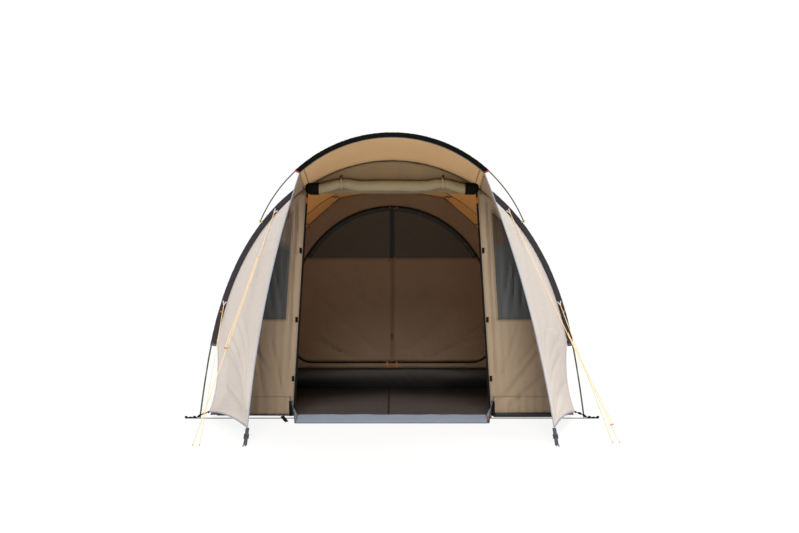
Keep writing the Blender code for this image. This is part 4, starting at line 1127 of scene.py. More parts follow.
POLE = RibFinish("fibreglass", "fibreglass", (80, 80, 64), 0.45, 0.2, 9.0, coat=0.1, pitch=0.0009, slant=0.02,
                 depth=0.00004, shade=0.86, on_map=True, gloss=0.25)
FERRULE = Finish("ferrule_steel", "fibreglass", (150, 150, 148), 0.3, 0.12, 30.0, metallic=1.0)
EYELET = Finish("eyelet_steel", "webbing_white", (196, 198, 196), 0.35, 0.12, 60.0, metallic=0.8)
PLASTIC = Finish("plastic_black", "plastic_black", (40, 40, 44), 0.5, 0.15, 20.0, gloss=0.25)
RUNNER = RibFinish("runner_orange", "orange", (206, 126, 66), 0.7, 0.15, 60.0, pitch=0.0016, gloss=0.2)
ORANGE = replace(RUNNER, name="pull_orange", colour=(240, 128, 36), depth=0.0002, shade=0.8)
BROWN_PULL = replace(RUNNER, name="pull_brown", colour=(66, 47, 34))
GOLD_PULL = replace(RUNNER, name="pull_gold", colour=(196, 140, 70), on_map=True)
GUY = RibFinish("guy_orange", "guy_orange", (255, 224, 172), 0.9, 0.1, 60.0, pitch=0.004, slant=1.5,
                depth=0.0005, shade=0.85, on_map=True, gloss=0.1)
ELASTIC = replace(GOLD_PULL, name="elastic_orange", colour=(232, 128, 44), roughness=0.8, mottle=0.1,
                  pitch=0.002)


class Workshop:
    """Cuts, sews and rigs the pieces."""

    def __init__(self, shape: TentShape, frame: dict) -> None:
        """Keeps the shape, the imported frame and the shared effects.

        Args:
            shape: The tent's curves.
            frame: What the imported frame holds.
        """
        self.shape = shape
        self.frame = frame
        self.effects = Effects()

    @staticmethod
    def grid(rows: int, columns: int, surface: Surface, wrap: bool = False) -> Mesh:
        """Weaves quads over a surface, with a map and an edge distance in metres.

        Args:
            rows: Cells along the first direction.
            columns: Cells along the second.
            surface: Point at two shares from 0 to 1.
            wrap: Whether the second direction closes on itself.

        Returns:
            The mesh being built.
        """
        across = spread(columns)
        place = np.array([[surface(share, other) for other in across] for share in spread(rows)])
        runs = []
        for axis in (0, 1):
            lengths = np.linalg.norm(np.diff(place, axis=axis), axis=2)
            start = np.zeros_like(np.take(lengths, [0], axis=axis))
            runs.append(np.cumsum(np.concatenate([start, lengths], axis=axis), axis=axis))
        far = [runs[0][-1:, :] - runs[0], runs[1][:, -1:] - runs[1]]
        nearest = np.minimum(runs[0], far[0])
        if not wrap:
            nearest = np.minimum(nearest, np.minimum(runs[1], far[1]))
        bm = bmesh.new()
        bmesh.ops.create_grid(bm, x_segments=rows, y_segments=columns, size=1.0)
        edge = bm.verts.layers.float.new("Edge")
        chart = bm.loops.layers.uv.new("Cloth")
        for vertex in bm.verts:
            row = round((vertex.co.x + 1) / 2 * rows)
            column = round((vertex.co.y + 1) / 2 * columns)
            vertex[edge] = nearest[row, column]
            for loop in vertex.link_loops:
                loop[chart].uv = (runs[0][row, column], runs[1][row, column])
            vertex.co = place[row, 0 if wrap and column == columns else column]
        if wrap:
            bmesh.ops.remove_doubles(bm, verts=bm.verts, dist=1e-7)
        return bm

    def put(self, name: str, bm: Mesh, finish: Finish, nodes: Sequence[str] = (),
            body: str = "tent") -> Piece:
        """Makes a mesh a piece that rides on a body and stands for CAD nodes.

        Args:
            name: The piece's name.
            bm: Its mesh, which is used up.
            finish: Its finish.
            nodes: The CAD nodes it stands for.
            body: The body it rides on, or nothing for none.

        Returns:
            The piece.
        """
        bmesh.ops.recalc_face_normals(bm, faces=bm.faces)
        out = sum(face.calc_area() * face.normal.dot(face.calc_center_median() - INSIDE) for face in bm.faces)
        if out < 0:
            bmesh.ops.reverse_faces(bm, faces=bm.faces)
        mesh = bpy.data.meshes.new(name)
        bm.to_mesh(mesh)
        bm.free()
        mesh.shade_smooth()
        mesh.set_sharp_from_angle(angle=SHARP)
        piece = bpy.data.objects.new(name, mesh)
        bpy.context.scene.collection.objects.link(piece)
        mesh.materials.append(finish.made(self.effects))
        if body:
            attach(piece, body)
        if nodes:
            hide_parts(*nodes)
        LOG.info("%s: %d faces", name, len(mesh.polygons))
        return piece

    def sheet(self, name: str, cells: tuple[int, int], surface: Surface, finish: Finish, held: Held,
              rests_on: Sequence[str], nodes: Sequence[str] = (), thickness: float = 0.0,
              lining: Finish | None = None, wrap: bool = False) -> Piece:
        """Sews a sheet over a surface and works out its flat size.

        Args:
            name: The piece's name.
            cells: Cells along the surface's two directions.
            surface: Point at two shares from 0 to 1.
            finish: Finish of its outside.
            held: How it is held.
            rests_on: What it hangs from or lies on.
            nodes: The CAD nodes it stands for.
            thickness: Its thickness, or 0 for that of the tent's cloth.
            lining: Finish of its other side, where that differs.
            wrap: Whether the second direction closes on itself.

        Returns:
            The piece.
        """
        bm = self.grid(*cells, surface, wrap)
        size = self._flat_size(cells, surface)
        piece = self.put(name, bm, finish, nodes)
        self.thicken(piece, thickness, lining)
        area = sum(face.area for face in piece.data.polygons)
        self.declare(piece, size, area, held, rests_on)
        return piece

    @staticmethod
    def declare(piece: Piece, flat: Pair, area: float, held: Held,
                rests_on: Sequence[str]) -> None:
        """Declares a sheet, with an area that its flat size can hold.

        Args:
            piece: The sheet; not used.
            flat: Its flat size.
            area: The area of its surface.
            held: How it is held; not used.
            rests_on: What it hangs from or lies on.
        """
        whole = flat[0] * flat[1]
        area = min(max(area, LEAST_FILL * whole), whole)
        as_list(rests_on)

    def thicken(self, piece: Piece, thickness: float = 0.0, lining: Finish | None = None) -> None:
        """Gives a sheet its thickness, and its lining on the side that faces in.

        Args:
            piece: The sheet.
            thickness: Its thickness, or 0 for that of the cloth.
            lining: Finish of its other side, where that differs.
        """
        solid = piece.modifiers.new("Thickness", "SOLIDIFY")
        solid.thickness = thickness or self.shape.sizes.cloth
        solid.offset = 0.0
        if lining:
            piece.data.materials.append(lining.made(self.effects))
            solid.material_offset = 1

    @staticmethod
    def _flat_size(cells: tuple[int, int], surface: Surface) -> Pair:
        """The longest run of a sheet along each of its directions.

        Args:
            cells: Cells along its directions; not used.
            surface: Point at two shares.

        Returns:
            Both lengths.
        """
        samples = 24
        shares = [number / samples for number in range(samples + 1)]
        rows = max(path_length([surface(u, v) for v in shares]) for u in shares)
        columns = max(path_length([surface(u, v) for u in shares]) for v in shares)
        return round(rows, 3), round(columns, 3)

    def flat_sheet(self, name: str, outline: Line, finish: Finish, held: Held, rests_on: Sequence[str],
                   nodes: Sequence[str] = (), hole: Line = (), drape: Drape | None = None,
                   cell: float = 0.02) -> Piece:
        """Args:
            name: The piece's name.
            outline: Its corners in an upright plane across the tent.
            finish: Its finish.
            held: How it is held.
            rests_on: What it hangs from.
            nodes: The CAD nodes it stands for.
            hole: Outline of an opening in it.
            drape: Where the folds move a point of the flat sheet.
            cell: Size of the cells it is cut into.

        Returns:
            The piece.
        """
        bm = bmesh.new()
        bm.faces.new([bm.verts.new(point) for point in outline])
        for axis in (0, 2):
            low, high = min(p[axis] for p in outline), max(p[axis] for p in outline)
            normal = Vector((float(axis == 0), 0, float(axis == 2)))
            for number in range(1, math.ceil((high - low) / cell)):
                at = outline[0] + normal * (low + number * cell - outline[0][axis])
                everything = [*bm.verts, *bm.edges, *bm.faces]
                bmesh.ops.bisect_plane(bm, geom=everything, dist=TINY, plane_co=at, plane_no=normal)
        if hole:
            self._cut_hole(bm, hole)
        edge = bm.verts.layers.float.new("Edge")
        chart = bm.loops.layers.uv.new("Cloth")
        for vertex in bm.verts:
            vertex[edge] = min(distance_to_outline(vertex.co, lines) for lines in (outline, hole) if lines)
            for loop in vertex.link_loops:
                loop[chart].uv = (vertex.co.x, vertex.co.z)
        if drape:
            for vertex in bm.verts:
                vertex.co = drape(vertex.co.copy())
        area = sum(face.calc_area() for face in bm.faces)
        piece = self.put(name, bm, finish, nodes)
        self.thicken(piece)
        xs, zs = [p.x for p in outline], [p.z for p in outline]
        size = (round(max(xs) - min(xs), 3), round(max(zs) - min(zs), 3))
        self.declare(piece, size, area, held, rests_on)
        return piece

    @staticmethod
    def _cut_hole(bm: Mesh, hole: Line) -> None:
        """Cuts the cells along a hole's sides and takes out what lies in it.

        Args:
            bm: The mesh being built.
            hole: The hole's corners.
        """
        for first, second in sides_of(hole):
            run = (second - first).normalized()
            normal = run.cross(ACROSS)
            reach = (second - first).length
            near = []
            for face in bm.faces:
                spans = [(vertex.co - first).dot(run) for vertex in face.verts]
                if max(spans) > -0.03 and min(spans) < reach + 0.03:
                    near.append(face)
            geom = list({item for face in near for item in [face, *face.edges, *face.verts]})
            bmesh.ops.bisect_plane(bm, geom=geom, dist=TINY, plane_co=first, plane_no=normal)
        inside = [face for face in bm.faces if is_inside(face.calc_center_median(), hole)]
        bmesh.ops.delete(bm, geom=inside, context="FACES")

    def tube(self, name: str, path: Line, radius: float | Callable[[float], float],
             finish: Finish, nodes: Sequence[str] = (), body: str = "tent",
             sides: int = 8) -> Piece:
        """Sweeps a round section along a path and closes its ends.

        Args:
            name: The piece's name.
            path: Points of its centre line.
            radius: Its radius, or the radius at a share of its length.
            finish: Its finish.
            nodes: The CAD nodes it stands for.
            body: The body it rides on.
            sides: Sides of the section.

        Returns:
            The piece.
        """
        frames = carried_frames(path)
        rows = len(path) - 1

        def surface(u: float, v: float) -> Vector:
            """A point of the swept section."""
            place, first, second = frames[round(u * rows)]
            wide = radius(u) if callable(radius) else radius
            turn = 2 * math.pi * v
            return place + first * (wide * math.cos(turn)) + second * (wide * math.sin(turn))

        bm = self.grid(rows, sides, surface, wrap=True)
        bmesh.ops.holes_fill(bm, edges=[edge for edge in bm.edges if edge.is_boundary], sides=0)
        return self.put(name, bm, finish, nodes, body)

    def ribbon(self, name: str, path: Line, wide: Vector | Line, width: float,
               finish: Finish, thickness: float = 0.0012, body: str = "tent") -> Piece:
        """Lays a flat tape along a path.

        Args:
            name: The piece's name.
            path: Points of its middle.
            wide: The direction across it, one for all points or one for each.
            width: Its width.
            finish: Its finish.
            thickness: Its thickness.
            body: The body it rides on.

        Returns:
            The piece.
        """
        rows = len(path) - 1
        across = [wide] * len(path) if isinstance(wide, Vector) else list(wide)

        def surface(u: float, v: float) -> Vector:
            """A point of the flat tape."""
            row = round(u * rows)
            return path[row] + across[row].normalized() * (width * (v - 0.5))

        piece = self.put(name, self.grid(rows, 2, surface), finish, body=body)
        self.thicken(piece, thickness)
        return piece

    def ring(self, name: str, centre: Vector, axis: Vector, size: Pair, finish: Finish,
             body: str = "tent") -> Piece:
        """Spins a small round section into a ring.

        Args:
            name: The piece's name.
            centre: Its centre.
            axis: Its axis.
            size: Radius to the middle of the section, and the section's own radius.
            finish: Its finish.
            body: The body it rides on.

        Returns:
            The piece.
        """
        axis = axis.normalized()
        out = axis.orthogonal().normalized()
        bm = bmesh.new()
        made = bmesh.ops.create_circle(bm, segments=8, radius=size[1])
        for vertex in made["verts"]:
            vertex.co = centre + out * (size[0] + vertex.co.x) + axis * vertex.co.y
        bmesh.ops.spin(bm, geom=[*bm.verts, *bm.edges], cent=centre, axis=axis, angle=2 * math.pi, steps=24,
                       use_merge=True)
        return self.put(name, bm, finish, body=body)

    def bead(self, name: str, path: Line, radius: float, finish: Finish,
             body: str = "tent") -> Piece:
        """A small toggle: a barrel with rounded ends along a short path."""
        def barrel(share: float) -> float:
            """The radius at a share of the length."""
            return radius * max(math.sin(math.pi * share), 0.05) ** 0.35

        return self.tube(name, path, barrel, finish, body=body, sides=10)

    def keep(self, finish: Finish, names: Iterable[str]) -> None:
        """Gives CAD nodes that keep their shape a better finish.

        Args:
            finish: The finish.
            names: The nodes.
        """
        for name in names:
            shown = self.frame["nodes"][name]
            for holder in shown.material_slots:
                holder.material = finish.made(self.effects)


def path_length(points: Line) -> float:
    """The length of a path."""
    return sum((b - a).length for a, b in zip(points, points[1:]))


def carried_frames(path: Line) -> list[Frame]:
    """Each point of a path with two directions across it that turn as little as they can.

    Args:
        path: The points.

    Returns:
        Each point with its two directions.
    """
    frames = []
    first = None
    for number, place in enumerate(path):
        along = (path[min(number + 1, len(path) - 1)] - path[max(number - 1, 0)]).normalized()
        first = along.orthogonal() if first is None else first
        first = (first - along * first.dot(along)).normalized()
        frames.append((place, first, along.cross(first)))
    return frames


def sides_of(outline: Line) -> Iterable[tuple[Vector, Vector]]:
    """Each side of a closed outline as its two corners."""
    return zip(outline, [*outline[1:], outline[0]], strict=True)


def distance_to_outline(point: Vector, outline: Line) -> float:
    """How far a point is from the nearest side of an outline.

    Args:
        point: A point.
        outline: Corners, in order.

    Returns:
        The distance.
    """
    best = math.inf
    for first, second in sides_of(outline):
        run = second - first
        share = min(max((point - first).dot(run) / max(run.length_squared, 1e-12), 0.0), 1.0)
        best = min(best, (point - first - run * share).length)
    return best


def is_inside(point: Vector, outline: Line) -> bool:
    """Whether a point lies inside an upright outline, seen from the front.

    Args:
        point: A point.
        outline: Corners, in order.

    Returns:
        True inside.
    """
    inside = False
    for first, second in sides_of(outline):
        if (first.z > point.z) != (second.z > point.z):
            crossing = first.x + (point.z - first.z) / (second.z - first.z) * (second.x - first.x)
            inside ^= point.x < crossing
    return inside


def spread(count: int) -> list[float]:
    """Shares from 0 to 1 in a number of equal parts."""
    return [number / count for number in range(count + 1)]


@dataclass
class Poles:
    """The sprung poles: round and smooth, with a steel tip at each foot and a ferrule on each leg."""

    shop: Workshop
    cuts: int = 8
    tip_length: float = 0.030
    ferrule_step: float = 16.35
    ferrule_length: float = 0.055
    metal_out: float = 0.0005
    brow_tip_out: float = 0.0006
    brow_tip_shares: tuple[float, ...] = (0.978, 0.985, 0.992, 1.0)

    def build(self) -> None:
        """Builds the three hoop poles and the brow pole."""
        shape = self.shop.shape
        sizes = shape.sizes
        count = 2 * sizes.steps * self.cuts
        for name, hoop in shape.hoops.items():
            path = [hoop.frame(sizes.steps * (2 * share - 1))[0] for share in spread(count)]
            self.shop.tube(f"{name}_pole", path, sizes.pole_radius, POLE, [f"{name}_hoop_pole"], sides=12)
            for side in Side:
                self._leg_metal(name, hoop, side)
        path = [shape.brow_frame(2 * share - 1)[0] for share in spread(160)]
        self.shop.tube("brow_pole_rod", path, sizes.brow_radius, POLE, ["brow_pole"], sides=12)
        for side in Side:
            ends = [shape.brow_frame(side.value * share)[0] for share in self.brow_tip_shares]
            radius = sizes.brow_radius + self.brow_tip_out
            self.shop.tube(f"brow_tip_{side.label}", ends, radius, FERRULE, sides=12)

    def _leg_metal(self, name: str, hoop: Hoop, side: Side) -> None:
        """The tip and the ferrule of one leg.

        Args:
            name: Start of the pieces' names.
            hoop: The hoop.
            side: The side of the tent.
        """
        radius = self.shop.shape.sizes.pole_radius
        foot, along, _ = hoop.frame(side.value * hoop.steps)
        up = -along * side.value
        tip = [foot + up * (self.tip_length * share) for share in spread(4)]
        self.shop.tube(f"{name}_tip_{side.label}", tip, radius + self.metal_out, FERRULE, sides=12)
        middle, along, _ = hoop.frame(side.value * self.ferrule_step)
        joint = [middle + along * (self.ferrule_length * (share - 0.5)) for share in spread(4)]
        self.shop.tube(f"{name}_ferrule_{side.label}", joint, radius + self.metal_out, FERRULE, sides=12)


@dataclass
class Sleeves:
    """The cloth tunnels that the poles run through, creased and bound at their ends."""

    shop: Workshop
    crinkle: float = 0.0018
    crinkles_along: float = 190.0
    crinkles_round: float = 7.0
    binding: float = 0.014
    binding_out: float = 0.0014
    binding_thickness: float = 0.0008
    longer: float = 0.3
    flank: float = 0.36

    def section(self, radius: float, tail: float, v: float, out: float) -> Pair:
        """A point (towards the tail, across) of the folded strip, at a share v round it.

        Args:
            radius: The pole's radius.
            tail: Length of the sleeve's tail.
            v: Share of the way round.
            out: Distance outside the sleeve.

        Returns:
            Distances towards the tail and across.
        """
        sizes = self.shop.shape.sizes
        nose = radius + sizes.gap + sizes.wall / 2 + out
        end = tail + sizes.wall / 2
        half = sizes.tail_bore + sizes.wall / 2 + out
        flank = self.flank
        if v < flank:
            share = v / flank
            return end * (1 - share), half + (nose - half) * share
        if v > 1 - flank:
            share = (1 - v) / flank
            return end * (1 - share), -(half + (nose - half) * share)
        turn = math.pi * (v - flank) / (1 - 2 * flank)
        return -nose * math.sin(turn), nose * math.cos(turn)

    def skin(self, frame_at: Callable[[float], Frame], radius: float, tail: float,
             out: float = 0.0) -> Surface:
        """The sleeve's surface over frames of place, tail direction and the direction across.

        Args:
            frame_at: Place and directions at a share of the length.
            radius: The pole's radius.
            tail: Length of the sleeve's tail.
            out: Distance outside the sleeve.

        Returns:
            The surface.
        """

        def surface(u: float, v: float) -> Vector:
            """A point of the crinkled cloth."""
            place, towards, across = frame_at(u)
            along, aside = self.section(radius, tail, v, out)
            rough = ripple(u * self.crinkles_along, v * self.crinkles_round)
            rough += 0.5 * ripple(u * 3.1 * self.crinkles_along, v * 9.0, 4)
            swell = self.crinkle * max(rough + 0.3, 0.0) * math.sin(math.pi * v) ** 2
            return place + towards * (along - swell) + across * (aside * (1 + swell * 60))

        return surface

    def build(self) -> None:
        """Builds the three hoop sleeves and the brow sleeve, with their bindings and piping."""
        shape = self.shop.shape
        sizes = shape.sizes
        for name, hoop in shape.hoops.items():
            def frame_at(u: float, hoop: Hoop = hoop) -> Frame:
                """The hoop's frame, turned as the sleeve needs it."""
                place, _, outward = hoop.frame((sizes.sleeve_end + self.longer) * (2 * u - 1))
                return place, -outward, ACROSS

            surface = self.skin(frame_at, sizes.pole_radius, sizes.tail)
            self.shop.sheet(f"{name}_sleeve", (420, 18), surface, SLEEVE, Held.STRETCHED, [f"{name}_pole"],
                            [f"{name}_hoop_sleeve"])
            self._bindings(name, frame_at, sizes.pole_radius, sizes.tail, PIPING)
        self._brow()

    def _bindings(self, name: str, frame_at: Callable, radius: float, tail: float, finish: Finish) -> None:
        """A bound edge round each end of a sleeve.

        Args:
            name: Start of the pieces' names.
            frame_at: Place and directions at a share of the length.
            radius: The pole's radius.
            tail: Length of the sleeve's tail.
            finish: Their finish.
        """
        reach = self.binding / path_length([frame_at(share)[0] for share in spread(200)])
        skin = self.skin(frame_at, radius, tail, out=self.binding_out)
        for side in Side:
            def surface(u: float, v: float, side: Side = side) -> Vector:
                """A point of the bound edge."""
                return skin(u * reach if side is Side.LEFT else 1 - u * reach, v)

            name_here = f"{name}_sleeve_binding_{side.label}"
            piece = self.shop.put(name_here, self.shop.grid(3, 18, surface), finish)
            self.shop.thicken(piece, self.binding_thickness)

    def _brow(self) -> None:
        """The black sleeve of the brow pole, piped along its inner edge, its ends bound in red."""
        shape = self.shop.shape
        sizes = shape.sizes

        def frame_at(u: float) -> Frame:
            """The brow pole's frame over the sleeve's length."""
            place, tangent, tail = shape.brow_frame(sizes.brow_share * (2 * u - 1))
            return place, tail, tangent.cross(tail)

        surface = self.skin(frame_at, sizes.brow_radius, sizes.brow_tail)
        self.shop.sheet("brow_pole_sleeve", (260, 18), surface, BLACK_SLEEVE, Held.STRETCHED,
                        ["brow_pole_rod"], ["brow_sleeve"])
        self._bindings("brow", frame_at, sizes.brow_radius, sizes.brow_tail, TRIM)
        edge = []
        for share in spread(160):
            place, tail, across = frame_at(share)
            edge.append(place + tail * (sizes.brow_tail - 0.002) - across * 0.0042)
        self.shop.tube("brow_piping", edge, 0.0024, PIPING)


@dataclass
class Roof:
    """The fly between the hoops, the rear wall and the canopy, with their hems."""

    shop: Workshop
    slack: float = 0.0035
    pulls: int = 11
    pull_depth: float = 0.0045
    hem_radius: float = 0.0028
    seam_fade: float = 0.10
    hem_fade: float = 0.05

    def taut(self, surface: Surface, seed: float) -> Surface:
        """Adds the light creases of taut cloth, which fade towards its seams.

        Args:
            surface: The smooth surface.
            seed: Number that sets its creases apart.

        Returns:
            The creased surface.
        """

        def drawn(u: float, v: float) -> Vector:
            """A point with its creases."""
            place = surface(u, v)
            free = inland(v, self.seam_fade, self.seam_fade)
            wave = self.slack * ripple(place.x * 3 + seed, place.y * 2.2, place.z * 3)
            near_hem = math.exp(-min(u, 1 - u) / self.hem_fade)
            pull = self.pull_depth * near_hem * math.sin(2 * math.pi * self.pulls * v + seed)
            out = place - Vector((0, place.y, 0.75))
            return place + out.normalized() * (free * (wave + pull))

        return drawn

    def build(self) -> None:
        """Builds every sheet of the roof."""
        shape = self.shop.shape
        bays = {"front": (shape.front, shape.middle), "rear": (shape.middle, shape.rear)}
        for number, (name, (near, far)) in enumerate(bays.items()):
            def bay(u: float, v: float, near: Hoop = near, far: Hoop = far) -> Vector:
                """A point of the bay, tucked in behind the wing's free edge."""
                place = shape.bay(near, far, u, v)
                if near is shape.front:
                    tuck = max(abs(place.x) - shape.leg_half(place.z) + 0.006, 0.0) * smooth(0.5, 0.0, v)
                    place.x -= math.copysign(tuck, place.x)
                return place

            surface = self.taut(bay, 3.7 * number)
            self.shop.sheet(f"roof_{name}_cloth", (190, 54), surface, PALE, Held.STRETCHED,
                            ["front_sleeve", "middle_sleeve", "rear_sleeve"], [f"roof_{name}_bay"],
                            lining=LIT_THROUGH_LINING)
            self._hems(f"roof_{name}", surface)
        surface = self.taut(shape.rear_wall, 9.1)
        self.shop.sheet("rear_wall_cloth", (150, 40), surface, PALE, Held.STRETCHED, ["rear_sleeve"],
                        ["rear_wall"], lining=LIT_THROUGH_LINING)
        foot = [surface(share, 1.0) for share in spread(90)]
        self.shop.tube("rear_wall_hem", foot, self.hem_radius, PIPING)
        self.shop.sheet("canopy_cloth", (120, 48), self.canopy, TAN, Held.STRETCHED,
                        ["front_sleeve", "brow_pole_sleeve"], ["canopy"])
        for side in Side:
            path = [self.canopy(0.5 + 0.47 * side.value, share) - UP * 0.0022 for share in spread(30)]
            wide = self.canopy(0.5 + 0.4 * side.value, 0.5) - path[15]
            self.shop.ribbon(f"canopy_seam_{side.label}", path, wide, 0.009, TAUPE, 0.0008)

    def canopy(self, u: float, v: float) -> Vector:
        """The canopy with the shallow pulls between its two poles.

        Args:
            u: Share of the way across.
            v: Share of the way down its length.

        Returns:
            The point.
        """
        place = self.shop.shape.canopy(u, v)
        free = inland(v, 0.15, 0.15) * smooth(0.0, 0.06, u) * smooth(0.0, 0.06, 1 - u)
        side = 2 * u - 1
        pull = math.sin(16 * math.pi * u + 2.5 * v) * 0.0035 * abs(side) + 0.004 * ripple(u * 7, v * 2.5, 2.0)
        return place + UP * (free * pull)

    def _hems(self, name: str, surface: Surface) -> None:
        """The piped hems of a bay."""
        for side in Side:
            path = [surface(0.0 if side is Side.LEFT else 1.0, share) for share in spread(40)]
            self.shop.tube(f"{name}_hem_{side.label}", path, self.hem_radius, PIPING)


@dataclass
class Wings:
    """The two porch wings: taut cloth that folds towards its pegged tip."""

    shop: Workshop
    fine_folds: float = 0.006
    long_folds: float = 0.034
    hollow: float = 0.045
    top_folds: float = 0.0035
    slack: float = 0.006
    piping: float = 0.0036
    leg_piping: float = 0.0028
    tip_reach: float = 0.85
    top_reach: float = 0.9

    def surface(self, side: Side) -> Surface:
        """The wing's surface with its folds.

        Args:
            side: The side of the tent.

        Returns:
            The surface.
        """
        shape = self.shop.shape
        tip = shape.wing_tip(side)
        top = shape.canopy_front_edge(side.value * shape.sizes.canopy_step)
        phase = 0.6 if side is Side.LEFT else 2.3
        inwards = Vector((-side.value, -0.2, 0))

        def folded(u: float, v: float) -> Vector:
            """A point of the wing with its folds."""
            place = shape.wing(side, u, v)
            angle = (1 - v) / max((1 - v) + (1 - u), TINY)
            away = (place - tip).length
            from_top = (place - top).length
            rays = math.sin(7.4 * math.pi * angle + phase)
            rays += 0.45 * math.sin(15.0 * math.pi * angle + 2 * phase)
            near_tip = smooth(0.03, 0.2, away) * math.exp(-((away / self.tip_reach) ** 2))
            depth = self.fine_folds * rays * near_tip
            climb = math.degrees(math.atan2(place.z - tip.z, math.hypot(place.x - tip.x, place.y - tip.y)))
            for at, width, share in self._rays(side):
                off = (climb - at) / width
                reach = smooth(0.04, 0.16, away) * smooth(1.10, 0.80, away)
                depth += self.long_folds * share * (1 - off * off) * math.exp(-off * off) * reach
            if side is Side.LEFT:
                depth += self.hollow * smooth(33, 22, climb) * smooth(0.05, 0.5, away)
            top_angle = v / max(v + 0.6 * u, TINY)
            near_top = math.exp(-((from_top / self.top_reach) ** 2))
            depth += self.top_folds * math.sin(13 * math.pi * top_angle + phase) * near_top
            depth += self.slack * ripple(place.x * 3.2 + phase, place.y * 3.2, place.z * 2.4)
            free = inland(v, 0.09, 0.05) * smooth(0.0, 0.04, 1 - u) * smooth(0.0, 0.05, u)
            return place + inwards * (depth * free)

        return folded

    @staticmethod
    def _rays(side: Side) -> list[tuple[float, float, float]]:
        """The long folds that meet at the tip: climb and half width in degrees, and share of the depth."""
        if side is Side.LEFT:
            return [(47, 2.2, 0.3), (41, 2.2, 1.0), (34.5, 1.8, 1.0), (29.5, 1.8, 0.6), (9, 2.6, 0.5)]
        return [(44, 3.0, 0.2), (34, 2.4, 0.3), (26, 2.4, 0.3), (12, 3.0, 0.3)]

    def build(self) -> None:
        """Builds both wings with their piping, corner patches and tie."""
        for side in Side:
            surface = self.surface(side)
            name = f"wing_{side.label}"
            self.shop.sheet(f"{name}_cloth", (170, 100), surface, PALE, Held.STRETCHED,
                            ["front_sleeve", "canopy_cloth"], [name], lining=TAUPE)
            edges = {
                "front": [surface(share, 1.0) for share in spread(90)],
                "foot": [surface(1.0, share) for share in spread(60)],
                "leg": [surface(0.6 + 0.4 * share, 0.0) for share in spread(40)],
            }
            for edge, path in edges.items():
                finish, radius = (PALE, self.leg_piping) if edge == "leg" else (WING_PIPING, self.piping)
                self.shop.tube(f"{name}_piping_{edge}", path, radius, finish)
            self._corner(side, surface)

    def _corner(self, side: Side, surface: Surface) -> None:
        """The tab that ties the rear corner down.

        Args:
            side: The side of the tent.
            surface: The wing's surface.
        """
        sizes = self.shop.shape.sizes
        corner = surface(1.0, 0.0)
        foot = Vector((side.value * (sizes.half_width + 0.02), -0.012, sizes.strap_thickness + 0.008))
        end = foot + Vector((side.value * 0.095, 0, -0.001))
        path = [corner.lerp(foot, share) + UP * (0.006 * math.sin(math.pi * share)) for share in spread(12)]
        path += [foot.lerp(end, share) + UP * (0.003 * math.sin(9 * share)) for share in spread(14)[1:]]
        wide = [UP * (0.55 + 0.4 * math.cos(1.3 * number)) - ACROSS * 0.6 for number in range(len(path))]
        self.shop.ribbon(f"wing_{side.label}_corner_tab", path, wide, 0.024, TAPE, 0.002)


